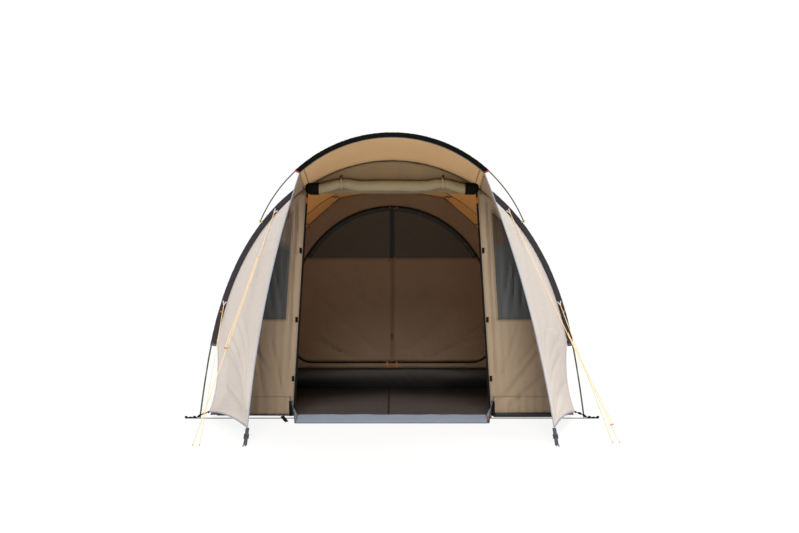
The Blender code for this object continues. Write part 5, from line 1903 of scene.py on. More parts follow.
@dataclass
class FrontWall:
    """Header, side panels, windows, the trim of the doorway and the rolled door."""

    shop: Workshop
    curtain: float = 0.010
    curtain_pitch: float = 0.062
    skirt: float = 0.17
    turns: float = 4.6
    inner_radius: float = 0.008
    cap_length: float = 0.085
    dome: float = 0.020
    beyond: float = 0.008
    end_rise: float = 0.008
    corner_lift: float = 0.011
    tab_heights: tuple[float, ...] = (1.31, 0.77, 0.31)
    header_folds: float = 0.0045
    header_slack: float = 0.004
    hem_radius: float = 0.0026
    seam_rise: float = 0.0018
    binding_width: float = 0.009
    binding_rise: float = 0.0016

    def drape(self, side: Side) -> Drape:
        """Where the folds of a side panel move its points.

        Args:
            side: The side of the tent.

        Returns:
            The function that moves a point.
        """
        shape = self.shop.shape
        sign = side.value

        def moved(point: Vector) -> Vector:
            """A point of the panel with its folds."""
            x, z = abs(point.x), point.z
            from_door = x - shape.door_half(z)
            from_seam = shape.wall_half(z) - x
            taut = smooth(0.0, 0.05, from_door) * smooth(0.0, 0.07, from_seam)
            taut *= smooth(0.0, 0.1, shape.door_top - z)
            wander = 0.25 * ripple(z * 2.1, sign * 3.0)
            folds = math.sin(2 * math.pi * (from_door / self.curtain_pitch + wander))
            depth = self.curtain * folds * math.exp(-((from_door / 0.13) ** 2)) * smooth(0.0, 0.5, z)
            if z < self.skirt + 0.10:
                gathers = math.sin(2 * math.pi * (x / 0.075 + 0.4 * ripple(x * 6, sign * 2.0)))
                depth += 0.006 * gathers * smooth(self.skirt + 0.10, self.skirt - 0.04, z)
            for foot, head, width, deep in self._diagonals(side):
                depth += deep * fold_at(x, z, foot, head, width)
            depth += 0.005 * ripple(point.x * 3.4, z * 3.4, 1.5)
            return Vector((point.x, point.y + depth * taut, point.z))

        return moved

    @staticmethod
    def _diagonals(side: Side) -> list[tuple[Pair, Pair, float, float]]:
        """The long folds of a panel: both ends as (distance from the middle, height), width and depth.

        Args:
            side: The side of the tent.

        Returns:
            The folds.
        """
        if side is Side.LEFT:
            low = [((1.13, 0.16), (1.20, 0.70), 0.026, 0.014), ((1.00, 0.12), (1.08, 0.74), 0.022, 0.012),
                   ((0.84, 0.10), (0.96, 0.70), 0.018, 0.009), ((1.05, 0.30), (1.30, 0.68), 0.024, 0.015),
                   ((0.96, 0.34), (1.18, 0.76), 0.020, 0.011)]
        else:
            low = [((0.82, 0.08), (1.22, 0.60), 0.030, 0.013), ((0.90, 0.06), (1.36, 0.50), 0.026, 0.012),
                   ((0.96, 0.36), (1.24, 0.74), 0.024, 0.010), ((0.86, 0.30), (1.00, 0.76), 0.020, 0.008)]
        return [*low, ((0.86, 0.80), (0.94, 1.34), 0.018, 0.007), ((0.94, 0.80), (0.98, 1.40), 0.022, 0.010),
                ((1.02, 0.80), (1.00, 1.25), 0.020, 0.009), ((0.76, 1.72), (0.98, 1.30), 0.022, 0.008)]

    def build(self) -> None:
        """Builds the wall piece by piece."""
        shape = self.shop.shape
        sizes = shape.sizes
        for side in Side:
            self._panel(side)
        lifted = shape.door_top + sizes.gap
        steps = [step / 4 for step in range(4 * sizes.steps)]
        arch = [shape.front.at(step, shape.wall_inset) for step in steps]
        right = [Vector((shape.wall_half(lifted), 0, lifted))]
        right += [point for point in reversed(arch) if point.z > lifted + 0.002]
        left = [Vector((-point.x, 0, point.z)) for point in reversed(right[:-1])]

        def header_drape(point: Vector) -> Vector:
            """A point of the header with its folds."""
            free = smooth(0.0, 0.05, point.z - lifted)
            free *= smooth(0.0, 0.06, shape.wall_half(point.z) - abs(point.x))
            depth = self.header_folds * math.sin(point.x * 26 + 2 * ripple(point.x * 4, point.z * 9))
            depth += self.header_slack * ripple(point.x * 5, point.z * 6)
            return Vector((point.x, point.y + depth * free, point.z))

        self.shop.flat_sheet("front_header_cloth", [*right, *left], CANOPY_SHADED_HEADER, Held.STRETCHED, ["front_sleeve"],
                             ["front_wall_header"], drape=header_drape, cell=0.016)
        self._roll()

    def _edge(self, height: float) -> float:
        """Half the width at a panel's outer edge."""
        shape = self.shop.shape
        return min(shape.wall_half(height), shape.leg_half(height) - 0.004)

    def _panel(self, side: Side) -> None:
        """One side panel with its window, seams and door-edge tabs.

        Args:
            side: The side of the tent.
        """
        shape, sign, name = self.shop.shape, side.value, side.label
        hem = shape.sizes.hem
        heights = [hem + (shape.door_top - hem) * share for share in spread(60)]
        outer = [Vector((sign * self._edge(z), 0, z)) for z in heights]
        door = [Vector((sign * shape.door_half(z), 0, z)) for z in (shape.door_top, hem)]
        window = shape.window_outline(side, 0.0)
        drape = self.drape(side)
        self.shop.flat_sheet(f"front_panel_{name}", [*outer, *door], TAUPE, Held.STRETCHED, ["front_sleeve"],
                             [f"front_wall_{name}"], hole=window, drape=drape, cell=0.015)
        # Painted light: the left window's film is lighter and the right one's darker, for how the light falls
        # on each side.
        painted_light_tone = (124, 112, 100) if side is Side.LEFT else (92, 78, 66)
        film = replace(FILM, name=f"window_film_{name}", colour=painted_light_tone, across=(-sign * 0.35, 1.0))
        self.shop.flat_sheet(f"window_film_{name}", shape.window_outline(side, 0.0006), film, Held.STRETCHED,
                             [f"front_panel_{name}"], [f"window_{name}"], drape=drape, cell=0.02)
        self._binding(side, window, drape)
        reach = self._edge(self.skirt) - shape.door_half(self.skirt)
        seam = [sign * (shape.door_half(self.skirt) + reach * share) for share in spread(50)]
        seam = [drape(Vector((x, 0, self.skirt))) + FORWARD * self.seam_rise for x in seam]
        self.shop.ribbon(f"skirt_seam_{name}", seam, UP, 0.008, TAUPE, 0.0008)
        reach = self._edge(hem) - shape.door_half(hem)
        foot = [sign * (shape.door_half(hem) + reach * share) for share in spread(60)]
        foot = [drape(Vector((x, 0, hem))) for x in foot]
        self.shop.tube(f"front_panel_hem_{name}", foot, self.hem_radius, PIPING)
        for number, height in enumerate(self.tab_heights):
            x = sign * (shape.door_half(height) + 0.004)
            tab = [Vector((x + sign * 0.020 * share, -0.003, height)) for share in spread(4)]
            self.shop.ribbon(f"door_tab_{name}_{number}", tab, UP, 0.042, TAPE, 0.002)
        x = sign * (shape.door_half(hem) + 0.014)
        corner = [Vector((x, -0.004, 0.018 + 0.12 * share)) for share in spread(6)]
        self.shop.ribbon(f"door_corner_{name}", corner, ASIDE, 0.028, TAPE, 0.002)
        if side is Side.RIGHT:
            flap = [Vector((0.79 + 0.46 * share, -0.012, 0.029)) for share in spread(12)]
            self.shop.ribbon("front_mud_flap", flap, UP, 0.036, TUB, 0.0012)

    def _binding(self, side: Side, window: Line, drape: Drape) -> None:
        """The tape sewn round a window.

        Args:
            side: The side of the tent.
            window: The window's corners.
            drape: Where the folds move a point.
        """
        path, wide = [], []
        centre = sum(window, Vector()) / len(window)
        for first, second in sides_of(window):
            run = (second - first).normalized()
            normal = run.cross(ACROSS)
            normal *= -1 if normal.dot(first - centre) > 0 else 1
            count = max(int((second - first).length / 0.02), 1)
            for number in range(count + 1):
                path.append(drape(first.lerp(second, number / count)) + FORWARD * self.binding_rise)
                wide.append(normal)
        self.shop.ribbon(f"window_binding_{side.label}", path, wide, self.binding_width, TAUPE, 0.0008)

    def _roll(self) -> None:
        """The rolled door: one sheet wound up, with its two ties, toggles and dark ends."""
        shape = self.shop.shape
        sizes = shape.sizes
        half = shape.roll_half
        axis_y = -(sizes.cloth / 2 + sizes.gap + sizes.roll_radius)

        def wound(x_share: float, radius_share: float, turn: float, out: float = 0.0) -> Vector:
            """A point on a turn of the roll."""
            from_tie = (abs(x_share) * half - (half - sizes.roll_tie_inside)) / sizes.roll_tie_reach
            pinch = 1 - 1.4 * sizes.roll_pinch * math.exp(-(from_tie**2))
            full = sizes.roll_radius * (1 - sizes.roll_taper * (1 - math.cos(math.pi / 2 * x_share))) * pinch
            creases = 0.05 * ripple(x_share * 9, 2.4 * math.cos(turn), 2.4 * math.sin(turn))
            rays = 0.09 * math.sin(6 * turn + 14 * abs(from_tie)) * math.exp(-((from_tie / 2.6) ** 2))
            radius = (full - 0.001) * (0.95 + creases + rays) * radius_share + out
            low = shape.door_top + sizes.roll_above_door - sizes.roll_end_drop * x_share * x_share
            low += 0.028 * math.exp(-((from_tie / 2.2) ** 2)) + 0.014 * x_share * x_share
            x = (half + self.beyond) * x_share
            low += self.end_rise * smooth(0.56, 0.658, abs(x))
            low += self.corner_lift * smooth(0.630, 0.658, abs(x)) * max(-math.sin(turn), 0.0)
            return Vector((x, axis_y + radius * math.cos(turn), low + radius * math.sin(turn)))

        def door(u: float, v: float) -> Vector:
            """A point of the wound door."""
            radius = (self.inner_radius + (sizes.roll_radius - self.inner_radius) * v) / sizes.roll_radius
            return wound(2 * u - 1, radius, 2 * math.pi * self.turns * (v - 1) + 1.1)

        self.shop.sheet("door_roll_cloth", (120, 150), door, ROLL, Held.FOLDED, ["front_header_cloth"],
                        ["door_roll"])
        for side in Side:
            sign, name = side.value, side.label

            def cap(u: float, v: float, sign: int = sign) -> Vector:
                """A point of the domed end."""
                at = (self.dome - (self.cap_length + self.dome) * u) / half
                round_off = math.sqrt(max(1 - (1 - min(u * 5.5, 1.0)) ** 2, 0.0))
                turn = 2 * math.pi * v
                return wound(sign * (1 + at), 0.3 + 0.7 * round_off, turn, 0.0008 + 0.003 * round_off)

            bm = self.shop.grid(22, 40, cap, wrap=True)
            outermost = max(abs(vertex.co.x) for vertex in bm.verts) - 0.002
            ends = [edge for edge in bm.edges if edge.is_boundary and abs(edge.verts[0].co.x) > outermost]
            bmesh.ops.holes_fill(bm, edges=ends, sides=0)
            self.shop.thicken(self.shop.put(f"door_roll_end_{name}", bm, BLACK_SLEEVE), 0.001)
            place = sign * (1 - sizes.roll_tie_inside / half)
            loop = [wound(place, 1.0, 2 * math.pi * share + 0.9, 0.0028) for share in spread(40)]
            self.shop.ribbon(f"door_roll_tie_{name}", loop, ASIDE, 0.011, TIE, 0.0014)
            head = wound(place, 1.0, 0.5 * math.pi, 0.004)
            up = [head.lerp(Vector((head.x, -0.008, head.z + 0.016)), share) for share in spread(6)]
            self.shop.ribbon(f"door_roll_strap_{name}", up, ASIDE, 0.011, TIE, 0.0012)
            toggle = [up[-1] + Vector((sign * 0.004 + 0.007 * turn, -0.010, 0.016 * turn))
                      for turn in (2 * share - 1 for share in spread(8))]
            self.shop.bead(f"door_roll_toggle_{name}", toggle, 0.009, PLASTIC)
        rim = []
        for share in spread(120):
            point = wound(2 * share - 1, 1.0, 0.5 * math.pi, 0.0)
            rim.append(Vector((point.x, -0.012, point.z + 0.004 + 0.010 * abs(2 * share - 1) ** 3)))
        self.shop.ribbon("door_roll_fold", rim, UP, 0.012, ROLL_EDGE, 0.002)


def fold_at(x: float, z: float, foot: Pair, head: Pair, width: float) -> float:
    """The profile of a long fold at a point: a ridge with a shallow valley on either side.

    Args:
        x: Distance from the middle.
        z: Height.
        foot: One end of the fold.
        head: The other end.
        width: Half its width.

    Returns:
        A share of the fold's depth.
    """
    run_x, run_z = head[0] - foot[0], head[1] - foot[1]
    length = math.hypot(run_x, run_z)
    along = ((x - foot[0]) * run_x + (z - foot[1]) * run_z) / length**2
    off = ((x - foot[0]) * run_z - (z - foot[1]) * run_x) / length / width
    ends = smooth(-0.05, 0.25, along) * smooth(-0.05, 0.25, 1 - along)
    return ends * (1 - off * off) * math.exp(-off * off)


@dataclass
class Ground:
    """Groundsheet with its lip, and the small parts that hold the doorway's foot."""

    shop: Workshop
    lip_curl: float = 0.165

    def build(self) -> None:
        """Builds the sheet, its piping and the peg loops."""
        sizes = self.shop.shape.sizes
        lip_half = sizes.door_half_foot - sizes.lip_inside
        floor_half = sizes.half_width - sizes.floor_inside
        strap = sizes.middle_y - sizes.strap_width / 2 - sizes.gap
        rear = sizes.middle_y + sizes.strap_width / 2 - sizes.gap
        rows_y = (-sizes.lip_forward, sizes.lip_back, sizes.lip_back + 0.02, strap - 0.012, rear)
        run = (0.0, 0.5, 0.53, 0.96, 1.0)
        line_y = (-sizes.lip_forward, -sizes.lip_forward / 2, 0.0, sizes.lip_back / 2, sizes.lip_back,
                  strap - 0.008, strap, rear)
        line_z = (*(sizes.lip_ridge * share for share in (0.0, 0.55, 1.0, 0.35, 0.0, 0.0)), 0.0025, 0.0025)
        level = sizes.floor_thickness / 2

        def surface(u: float, v: float) -> Vector:
            """A point of the sheet with its puckers."""
            y = float(np.interp(u, run, rows_y))
            half = lip_half + (floor_half - lip_half) * smooth(sizes.lip_back, sizes.lip_back + 0.02, y)
            x = half * (2 * v - 1)
            height = float(np.interp(y, line_y, line_z))
            puckers = max(ripple(x * 7, y * 7) + 0.15, 0.0) * smooth(0.0, 0.03, y + sizes.lip_forward)
            return Vector((x, y, level + height + 0.006 * puckers * smooth(0.0, 0.05, half - abs(x))))

        self.shop.sheet("groundsheet_cloth", (110, 110), surface, LIP, Held.LAID, ["floor"], ["groundsheet"],
                        thickness=sizes.floor_thickness)
        front = [surface(0.0, share) for share in spread(80)]
        self.shop.tube("lip_piping", front, 0.003, PIPING)
        seam = [surface(share, 0.49) + UP * 0.0016 for share in spread(60) if share > 0.5]
        self.shop.ribbon("groundsheet_seam", seam, ASIDE, 0.014, TUB, 0.0006)
        for side in Side:
            self._corner(side, lip_half)

    def _corner(self, side: Side, lip_half: float) -> None:
        """The corner of the lip that curls up the jamb, and the peg loop with its elastic.

        Args:
            side: The side of the tent.
            lip_half: Half the lip's width.
        """
        sign, name = side.value, side.label
        bend = [Vector((sign * (lip_half + x), y, z)) for x, y, z in (
            (0.0, -0.205, 0.004), (0.012, -0.12, 0.01), (0.02, -0.03, 0.07), (0.062, -0.006, self.lip_curl))]

        def gusset(u: float, v: float) -> Vector:
            """A point of the gusset."""
            edge = Vector((sign * lip_half, 0.185 * u - 0.205, 0.002 + 0.026 * u))
            return edge.lerp(bezier(bend, 0.78 * u), 0.02 + 0.98 * v)

        self.shop.sheet(f"lip_gusset_{name}", (24, 6), gusset, LIP, Held.LAID, ["groundsheet_cloth"])
        self.shop.tube(f"lip_curl_{name}", [bezier(bend, share) for share in spread(24)], 0.0042, PIPING)
        head, lean = (0.855, -0.055) if side is Side.LEFT else (0.765, -0.045)
        start = Vector((sign * head, -0.012, 0.016))
        loop = []
        for share in spread(28):
            out = math.sin(math.pi * share)
            bow = Vector((sign * lean * out, -0.165 * out, -0.010 * out + 0.006 * (share - 0.5)))
            loop.append(start + bow)
        self.shop.ribbon(f"door_peg_loop_{name}", loop, Vector((1, 0, 0.25)), 0.026, TAPE, 0.002)
        if side is Side.RIGHT:
            for number in (0, 1):
                elastic = [start + Vector((-0.024 * share + 0.008 * math.sin(6 * share), -0.02 - 0.10 * share,
                                           0.012 + 0.006 * number - 0.004 * share)) for share in spread(10)]
                self.shop.tube(f"door_peg_elastic_{number}", elastic, 0.0032, ELASTIC)


@dataclass
class InnerTent:
    """The sleeping cabin: brown cloth and net over a dark tub, with its arched zip."""

    shop: Workshop
    net_foot: float = 1.254
    band: float = 0.046
    arch_band: float = 0.038
    slider_room: float = 0.0070
    toggle_length: float = 0.026
    tub_bulge: float = 0.045
    crease_depth: float = 0.015
    crease_width: float = 0.022
    front_creases: tuple[tuple[Pair, Pair], ...] = (
        ((0.1, 0.3), (0.8, 0.95)), ((0.3, 0.27), (0.95, 0.52)), ((0.15, 0.75), (0.7, 1.16)),
        ((0.4, 0.27), (0.98, 0.66)), ((0.05, 1.28), (0.5, 1.66)), ((0.2, 1.27), (0.75, 1.5)),
        ((0.08, 1.4), (0.3, 1.72)))
    tab_places: tuple[Pair, ...] = ((-0.02, 1.738), (0.022, 1.733), (0.05, 1.738), (0.022, 1.25))

    def build(self) -> None:
        """Builds the cabin from its roof to its ties."""
        shape = self.shop.shape
        sizes = shape.sizes
        lift = UP * sizes.gap

        def roof(u: float, v: float) -> Vector:
            """A point of the sagging roof."""
            place = shape.inner(u, v)
            free = smooth(0.0, 0.08, v) * inland(u, 0.06, 0.06) * smooth(0.0, 0.05, 1 - v)
            sag = 0.006 * ripple(place.x * 4, place.y * 3, place.z * 4)
            return place + lift + (INSIDE - place).normalized() * (free * (sag + 0.006))

        self.shop.sheet("inner_roof_cloth", (110, 60), roof, INNER, Held.HUNG,
                        ["middle_sleeve", "rear_sleeve"], ["inner_roof"])
        self._front()
        self._tub()
        self._zips()
        self._ties()

    def drape(self, point: Vector) -> Vector:
        """The slack of the cabin's front, with creases that fall towards the zip's foot.

        Args:
            point: A point of the flat cloth.

        Returns:
            The point with its folds.
        """
        shape = self.shop.shape
        sizes = shape.sizes
        middle = smooth(0.0, 0.05, abs(point.x)) * smooth(0.0, 0.05, point.z - sizes.bathtub)
        depth = 0.004 * ripple(point.x * 3, point.z * 3, 7.0)
        for foot, head in self.front_creases:
            depth += self.crease_depth * fold_at(abs(point.x), point.z, foot, head, self.crease_width)
        return Vector((point.x, point.y + depth * middle, point.z))

    def _front(self) -> None:
        """The front wall round the door, and the two leaves of cloth below and net above."""
        shape = self.shop.shape
        sizes = shape.sizes
        lift = UP * sizes.gap
        crown = [shape.inner_section(shape.middle, share, shape.inner_y) + lift for share in spread(96)]
        hole = shape.inner_door(-sizes.zip_tape / 2 - sizes.gap)
        self.shop.flat_sheet("inner_front_cloth", crown, INNER, Held.HUNG, ["inner_roof_cloth"],
                             ["inner_front_wall"], hole=hole, drape=self.drape, cell=0.03)
        leaf = shape.inner_door(sizes.zip_tape / 2 + sizes.gap)
        split = sizes.zip_tape / 2 + sizes.gap
        for side in Side:
            outline = cut(leaf, 0, side.value * split, below=side is Side.LEFT)
            low, high = (cut(outline, 2, self.net_foot, below=below) for below in (True, False))
            name = f"inner_leaf_{side.label}"
            self.shop.flat_sheet(f"{name}_cloth", low, INNER, Held.HUNG, ["inner_front_cloth"], [name],
                                 drape=self.drape, cell=0.03)
            self.shop.flat_sheet(f"{name}_net", high, NET, Held.HUNG, [f"{name}_cloth"], drape=self.drape,
                                 cell=0.04)
            reach = [p.x for p in low if abs(p.z - self.net_foot) < 1e-4]
            start, run = min(reach), max(reach) - min(reach)
            seam = [Vector((start + run * share, shape.inner_y, self.net_foot)) for share in spread(40)]
            seam = [self.drape(point) + FORWARD * 0.002 for point in seam]
            self.shop.ribbon(f"{name}_seam", seam, UP, 0.012, INNER, 0.0008)

    def _tub(self) -> None:
        """The floor with its sides turned up, as one sheet."""
        shape = self.shop.shape
        sizes = shape.sizes
        around = [shape.inner(0.0, share) for share in spread(30)]
        around += [shape.inner(share, 1.0) for share in spread(50)[1:-1]]
        around += [shape.inner(1.0, 1 - share) for share in spread(30)]
        front = shape.inner_y + sizes.cloth / 2
        level = sizes.strap_thickness + sizes.gap + sizes.floor_thickness / 2
        bm = bmesh.new()
        corners = [bm.verts.new((point.x, max(point.y, front), level)) for point in around]
        corners[0].co.y = corners[-1].co.y = front
        face = bm.faces.new(corners)
        walls = bmesh.ops.extrude_edge_only(bm, edges=list(face.edges))
        raised = [item for item in walls["geom"] if isinstance(item, bmesh.types.BMVert)]
        bmesh.ops.translate(bm, verts=raised, vec=(0, 0, sizes.bathtub - level))
        for axis, first, last in ((2, 0.0, sizes.bathtub), (0, -1.4, 1.4)):
            normal = Vector((float(axis == 0), 0, float(axis == 2)))
            for share in spread(8 if axis == 2 else 40):
                bmesh.ops.bisect_plane(bm, geom=[*bm.verts, *bm.edges, *bm.faces], dist=TINY,
                                       plane_co=normal * (first + (last - first) * share), plane_no=normal)
        for vertex in bm.verts:
            if vertex.co.y < front + 1e-4:
                rise = math.sin(math.pi * (vertex.co.z - level) / (sizes.bathtub - level))
                slack = 0.45 + 0.4 * abs(vertex.co.x) + 0.3 * ripple(vertex.co.x * 3)
                vertex.co.y -= self.tub_bulge * rise * slack
        chart = bm.loops.layers.uv.new("Cloth")
        edge = bm.verts.layers.float.new("Edge")
        for vertex in bm.verts:
            vertex[edge] = sizes.bathtub - vertex.co.z
            for loop in vertex.link_loops:
                loop[chart].uv = (vertex.co.x + vertex.co.z, vertex.co.y)
        area = sum(item.calc_area() for item in bm.faces)
        piece = self.shop.put("inner_tub", bm, TUB, ["inner_floor"])
        self.shop.thicken(piece, sizes.floor_thickness)
        flat = (piece.dimensions.x + 2 * sizes.bathtub, piece.dimensions.y + 2 * sizes.bathtub)
        self.shop.declare(piece, flat, area, Held.LAID, ["middle_base_strap"])

    def _zips(self) -> None:
        """The arched zip with its raised coil, and the dark band down the net."""
        shape = self.shop.shape
        sizes = shape.sizes
        loop = shape.inner_door(0.0)
        closed = [*loop, loop[0], loop[1]]
        wide = []
        for number, point in enumerate(closed):
            ahead = closed[min(number + 1, len(closed) - 1)]
            behind = closed[max(number - 1, 0)]
            wide.append((ahead - behind).cross(ACROSS).normalized())
        tape = [point + FORWARD * 0.0004 for point in closed]
        self.shop.ribbon("inner_zip_tape", tape, wide, sizes.zip_tape * 0.85, TAPE, 0.0012)
        self.shop.tube("inner_zip_coil", [point + FORWARD * 0.0002 for point in closed], 0.0022, ZIP,
                       ["inner_door_zip"])
        arch = [item for item in zip(shape.inner_door(0.026), wide) if item[0].z > self.net_foot]
        top = shape.zip_top - 0.02
        strip = self.band / 2 - self.slider_room
        for side in Side:
            sign, name = side.value, side.label
            run = [item for item in arch if sign * item[0].x > -0.001]
            path = [(max(abs(point.x), self.slider_room), point) for point, _ in run]
            path = [self.drape(Vector((sign * x, point.y, point.z))) + FORWARD * 0.005 for x, point in path]
            self.shop.ribbon(f"inner_arch_band_{name}", path, [across for _, across in run], self.arch_band,
                             BAND, 0.0008)
            foot = Vector((sign * (self.slider_room + strip / 2), shape.inner_y - 0.005, self.net_foot))
            band = [foot + UP * ((top - self.net_foot) * share) for share in spread(30)]
            self.shop.ribbon(f"inner_centre_band_{name}", band, ASIDE, strip, BAND, 0.0008)
        for number, (x, z) in enumerate(self.tab_places):
            place = Vector((x, shape.inner_y - 0.010, z))
            tab = [place + UP * (0.016 * share) for share in spread(6)]
            self.shop.bead(f"inner_tab_{number}", tab, 0.006, GOLD_PULL)

    def _ties(self) -> None:
        """Elastics with small toggles that hold the cabin to the middle sleeve."""
        shape = self.shop.shape
        steps = [(sign * step, inset) for sign in (-1, 1) for step, inset in shape.sizes.inner_knots[1:]]
        for number, (step, inset) in enumerate(steps):
            low = shape.middle.at(step, inset - 0.004, -0.002)
            high = shape.middle.at(step + math.copysign(0.5, step), shape.wall_inset + 0.006, 0.016)
            elastic = [high.lerp(low, share) for share in spread(6)]
            self.shop.tube(f"inner_elastic_{number}", elastic, 0.0045, TAPE)
            along = shape.middle.frame(step)[1]
            bead = [high.lerp(low, 0.5) + along * (self.toggle_length * (share - 0.5)) for share in spread(8)]
            self.shop.bead(f"inner_toggle_{number}", bead, 0.007, PLASTIC)


def cut(outline: Line, axis: int, at: float, below: bool) -> list[Vector]:
    """The part of an outline on one side of a place along an axis.

    Args:
        outline: Corners, in order.
        axis: 0 for across, 2 for up.
        at: The place of the cut.
        below: Whether the lesser part is kept.

    Returns:
        The corners that are left.
    """
    kept = []
    for first, second in sides_of(outline):
        if (first[axis] < at) == below:
            kept.append(first)
        if (first[axis] < at) != (second[axis] < at):
            kept.append(first.lerp(second, (at - first[axis]) / (second[axis] - first[axis])))
    return kept


@dataclass
class Guys:
    """The guy lines: taut cords from the front sleeve to their pegs, one a side doubled."""

    shop: Workshop
    points: int = 24
    knot_radius: float = 0.0052
    cord_radius: float = 0.0026

    def tied(self, side: Side, height: float) -> Vector:
        """The point of the tape that holds a guy line.

        Args:
            side: The side of the tent.
            height: The height it is tied at.

        Returns:
            The point.
        """
        shape = self.shop.shape
        sizes = shape.sizes
        place, along, outward = shape.front.chord_frame(side.value * shape.front.step_at_height(height))
        inner = shape.seam_inset - 2 * sizes.cloth
        down = along * side.value
        lift = shape.sleeve_half(inner / 2) + sizes.gap + sizes.wall
        drop = down * (sizes.guy_drop - sizes.guy_strap_width / 2)
        return place - outward * (inner / 2) + drop + FORWARD * lift

    def build(self) -> None:
        """Builds every cord."""
        sizes = self.shop.shape.sizes
        for side in Side:
            peg = Vector((side.value * sizes.of(sizes.peg_out, side), -sizes.of(sizes.peg_forward, side),
                          sizes.guy_radius))
            for level, height in zip(("upper", "lower"), sizes.guy_heights, strict=True):
                tied = self.tied(side, height)
                end = peg if level == "upper" else peg + Vector((-side.value * sizes.peg_gap, 0, 0))
                along = (end - tied).normalized()
                start = tied + FORWARD * (sizes.guy_radius * math.sqrt(max(1 - along.y**2, 0)) + sizes.gap)
                self._line(side, level, start, end)

    def _line(self, side: Side, level: str, start: Vector, end: Vector) -> None:
        """One cord with its knot and its peg eyelet, and its second strand where it is doubled.

        Args:
            side: The side of the tent.
            level: Upper or lower.
            start: Where the cord leaves its strap.
            end: Where it is pegged.
        """
        sizes = self.shop.shape.sizes
        name = f"{level}_{side.label}"
        along = (end - start).normalized()
        path = [start.lerp(end, share) for share in spread(self.points)]
        line = self.shop.tube(f"guy_cord_{name}", path, self.cord_radius, GUY, [f"guy_{name}"], sides=10)
        knot = self.shop.bead(f"guy_knot_{name}", [start + along * (0.016 * share) for share in spread(8)],
                              self.knot_radius, GUY)
        aside = (Vector((side.value, 0, 0)) - along * along.x * side.value).normalized()
        eyelet = self.shop.ring(f"guy_eyelet_{name}", end + UP * 0.008, aside, (0.007, 0.0018), EYELET)
        if level == "upper":
            share = sizes.of(sizes.runner_at, side)
            low = start.lerp(end, share)
            high = start.lerp(end, sizes.of(sizes.ring_at, side))
            ring = self.shop.ring(f"guy_ring_{name}", high, along, (0.0052, 0.0016), ORANGE)
            self._strand(side, high + aside * sizes.return_at_ring,
                         low + aside * sizes.runner_hole - along * sizes.gap)
        path_length(path)
        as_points(path)

    def _strand(self, side: Side, head: Vector, foot: Vector) -> None:
        """The strand that runs back up from the runner, built in one place; the real one gets longer as the
        runner slides.

        Args:
            side: The side of the tent.
            head: Its upper end.
            foot: Its end at the runner.
        """
        path = [head.lerp(foot, share) for share in spread(self.points)]
        strand = self.shop.tube(f"guy_strand_{side.label}", path, self.cord_radius, GUY,
                                [f"guy_return_{side.label}"], body="", sides=10)
        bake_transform(strand)
        path_length(path)
        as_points(path)


@dataclass
class Fittings:
    """CAD nodes that keep their shape and take a better finish, and the eyelets in the straps."""

    shop: Workshop

    def build(self) -> None:
        """Finishes the nodes and rivets the eyelets."""
        shape = self.shop.shape
        sizes = shape.sizes
        labels = [side.label for side in Side]
        guys = [f"{level}_{label}" for level in ("upper", "lower") for label in labels]
        straps = [f"{name}_base_strap" for name in shape.hoops]
        kept = {
            WEB_YELLOW: [f"brow_tab_{label}" for label in labels],
            WEB_BLACK: [*(f"wing_strap_{label}" for label in labels), *straps],
            PLASTIC: [f"{kind}_{label}" for kind in ("wing_buckle", "door_slider") for label in labels],
            WEB_WHITE: [f"guy_strap_{guy}" for guy in guys],
            DOOR_ZIP: [f"door_zip_{label}" for label in labels],
            CABIN_ZIP: ["inner_centre_zip"],
            BROWN_PULL: ["inner_centre_slider"],
            ORANGE: [f"{kind}_{label}" for kind in ("door_pull", "inner_slider") for label in labels],
            RUNNER: [f"guy_runner_{guy}" for guy in guys],
        }
        for finish, names in kept.items():
            self.shop.keep(finish, names)
        for name, hoop in shape.hoops.items():
            for side in Side:
                foot = hoop.frame(side.value * hoop.steps)[0]
                self.shop.ring(f"{name}_eyelet_{side.label}", foot + UP * sizes.strap_thickness, UP,
                               (0.0096, 0.0017), EYELET)


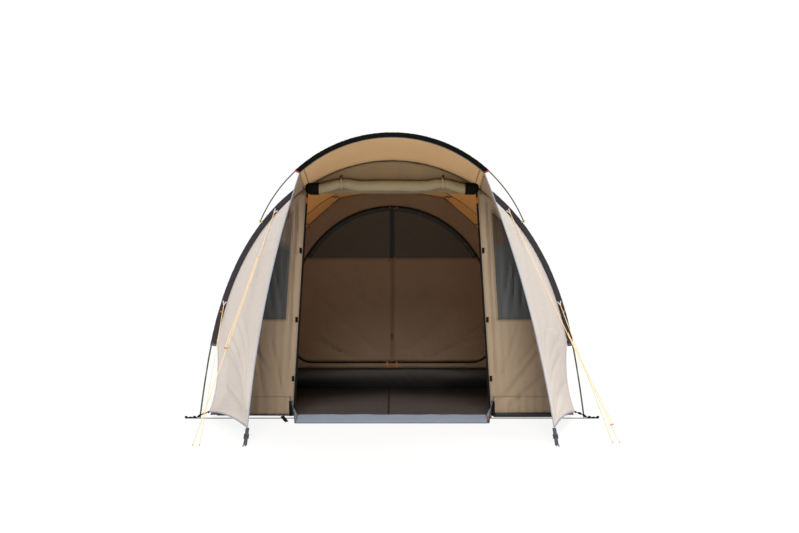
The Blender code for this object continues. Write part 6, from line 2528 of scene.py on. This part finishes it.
@dataclass
class Studio:
    """Camera, light and floor."""

    lens: float = 38.66
    sensor: float = 36.0
    distance: float = 6.7
    eye: float = 1.22
    shift: Pair = (0.0094, -0.0056)
    sky: float = 0.54
    suns: tuple[tuple[float, float, float], ...] = ((0.62, -14.0, 10.0), (0.62, 50.0, -4.0))
    sun_spread: float = 25.0
    sun_colour: tuple[float, float, float] = (1.0, 0.96, 0.90)
    floor_size: float = 60.0
    floor_glow: float = 0.88
    floor_below: float = 0.0005

    def build(self) -> None:
        """Sets up the studio."""
        scene = bpy.context.scene
        scene.view_settings.view_transform = "Standard"
        data = bpy.data.cameras.new("Camera")
        data.lens = self.lens
        data.sensor_width = self.sensor
        data.shift_x, data.shift_y = self.shift
        camera = bpy.data.objects.new("Camera", data)
        camera.location = (0.0, -self.distance, self.eye)
        camera.rotation_euler = (math.pi / 2, 0.0, 0.0)
        scene.collection.objects.link(camera)
        scene.camera = camera
        for power, pitch, roll in self.suns:
            lamp = bpy.data.lights.new("Sun", "SUN")
            lamp.energy = power * math.pi
            lamp.angle = math.radians(self.sun_spread)
            lamp.color = self.sun_colour
            sun = bpy.data.objects.new("Sun", lamp)
            sun.rotation_euler = (math.radians(pitch), math.radians(roll), 0.0)
            scene.collection.objects.link(sun)
        self._world(scene)
        self._floor(scene)

    def _world(self, scene: bpy.types.Scene) -> None:
        """A plain sky that the camera, gloss and glass see as white.

        Args:
            scene: The scene.
        """
        world = bpy.data.worlds.new("Studio")
        world.use_nodes = True
        tree = world.node_tree
        plain = tree.nodes["Background"]
        plain.inputs["Color"].default_value = (1.0, 0.99, 0.97, 1.0)
        plain.inputs["Strength"].default_value = self.sky
        white = node(tree, "Background", {"Color": (1, 1, 1, 1), "Strength": 1.0})
        mixed = node(tree, "MixShader", {0: seen_directly(tree), 1: plain.outputs[0], 2: white.outputs[0]})
        tree.links.new(mixed.outputs[0], tree.nodes["World Output"].inputs["Surface"])
        scene.world = world

    def _floor(self, scene: bpy.types.Scene) -> None:
        """A pale floor that keeps a soft shadow.

        Args:
            scene: The scene.
        """
        material = bpy.data.materials.new("studio_floor")
        material.use_nodes = True
        tree = material.node_tree
        shader = tree.nodes["Principled BSDF"]
        shader.inputs["Base Color"].default_value = (0.9, 0.9, 0.9, 1.0)
        shader.inputs["Roughness"].default_value = 1.0
        glow = node(tree, "Emission", {"Color": (1, 1, 1, 1), "Strength": 1.0})
        share = calc(tree, "MULTIPLY", seen_directly(tree), self.floor_glow)
        mixed = node(tree, "MixShader", {0: share, 1: shader.outputs[0], 2: glow.outputs[0]})
        tree.links.new(mixed.outputs[0], tree.nodes["Material Output"].inputs["Surface"])
        bm = bmesh.new()
        bmesh.ops.create_grid(bm, x_segments=1, y_segments=1, size=self.floor_size / 2)
        mesh = bpy.data.meshes.new("floor")
        bmesh.ops.translate(bm, verts=bm.verts, vec=(0, 0, -self.floor_below))
        bm.to_mesh(mesh)
        bm.free()
        mesh.materials.append(material)
        floor = bpy.data.objects.new("floor", mesh)
        scene.collection.objects.link(floor)


def seen_directly(tree: Tree) -> Socket:
    """1 where the camera looks, also by way of gloss or glass."""
    path = node(tree, "LightPath", {}).outputs
    first = calc(tree, "MAXIMUM", path["Is Camera Ray"], path["Is Glossy Ray"])
    return calc(tree, "MAXIMUM", first, path["Is Transmission Ray"])


def main() -> None:
    """Dresses the whole tent."""
    logging.basicConfig(level=logging.INFO, format="%(message)s")
    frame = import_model()
    shop = Workshop(TentShape(Pattern()), frame)
    Studio().build()
    for part in (Guys, Poles, Sleeves, Roof, Wings, FrontWall, Ground, InnerTent, Fittings):
        part(shop).build()
        LOG.info("%s done", part.__name__)


if __name__ == "__main__":
    main()
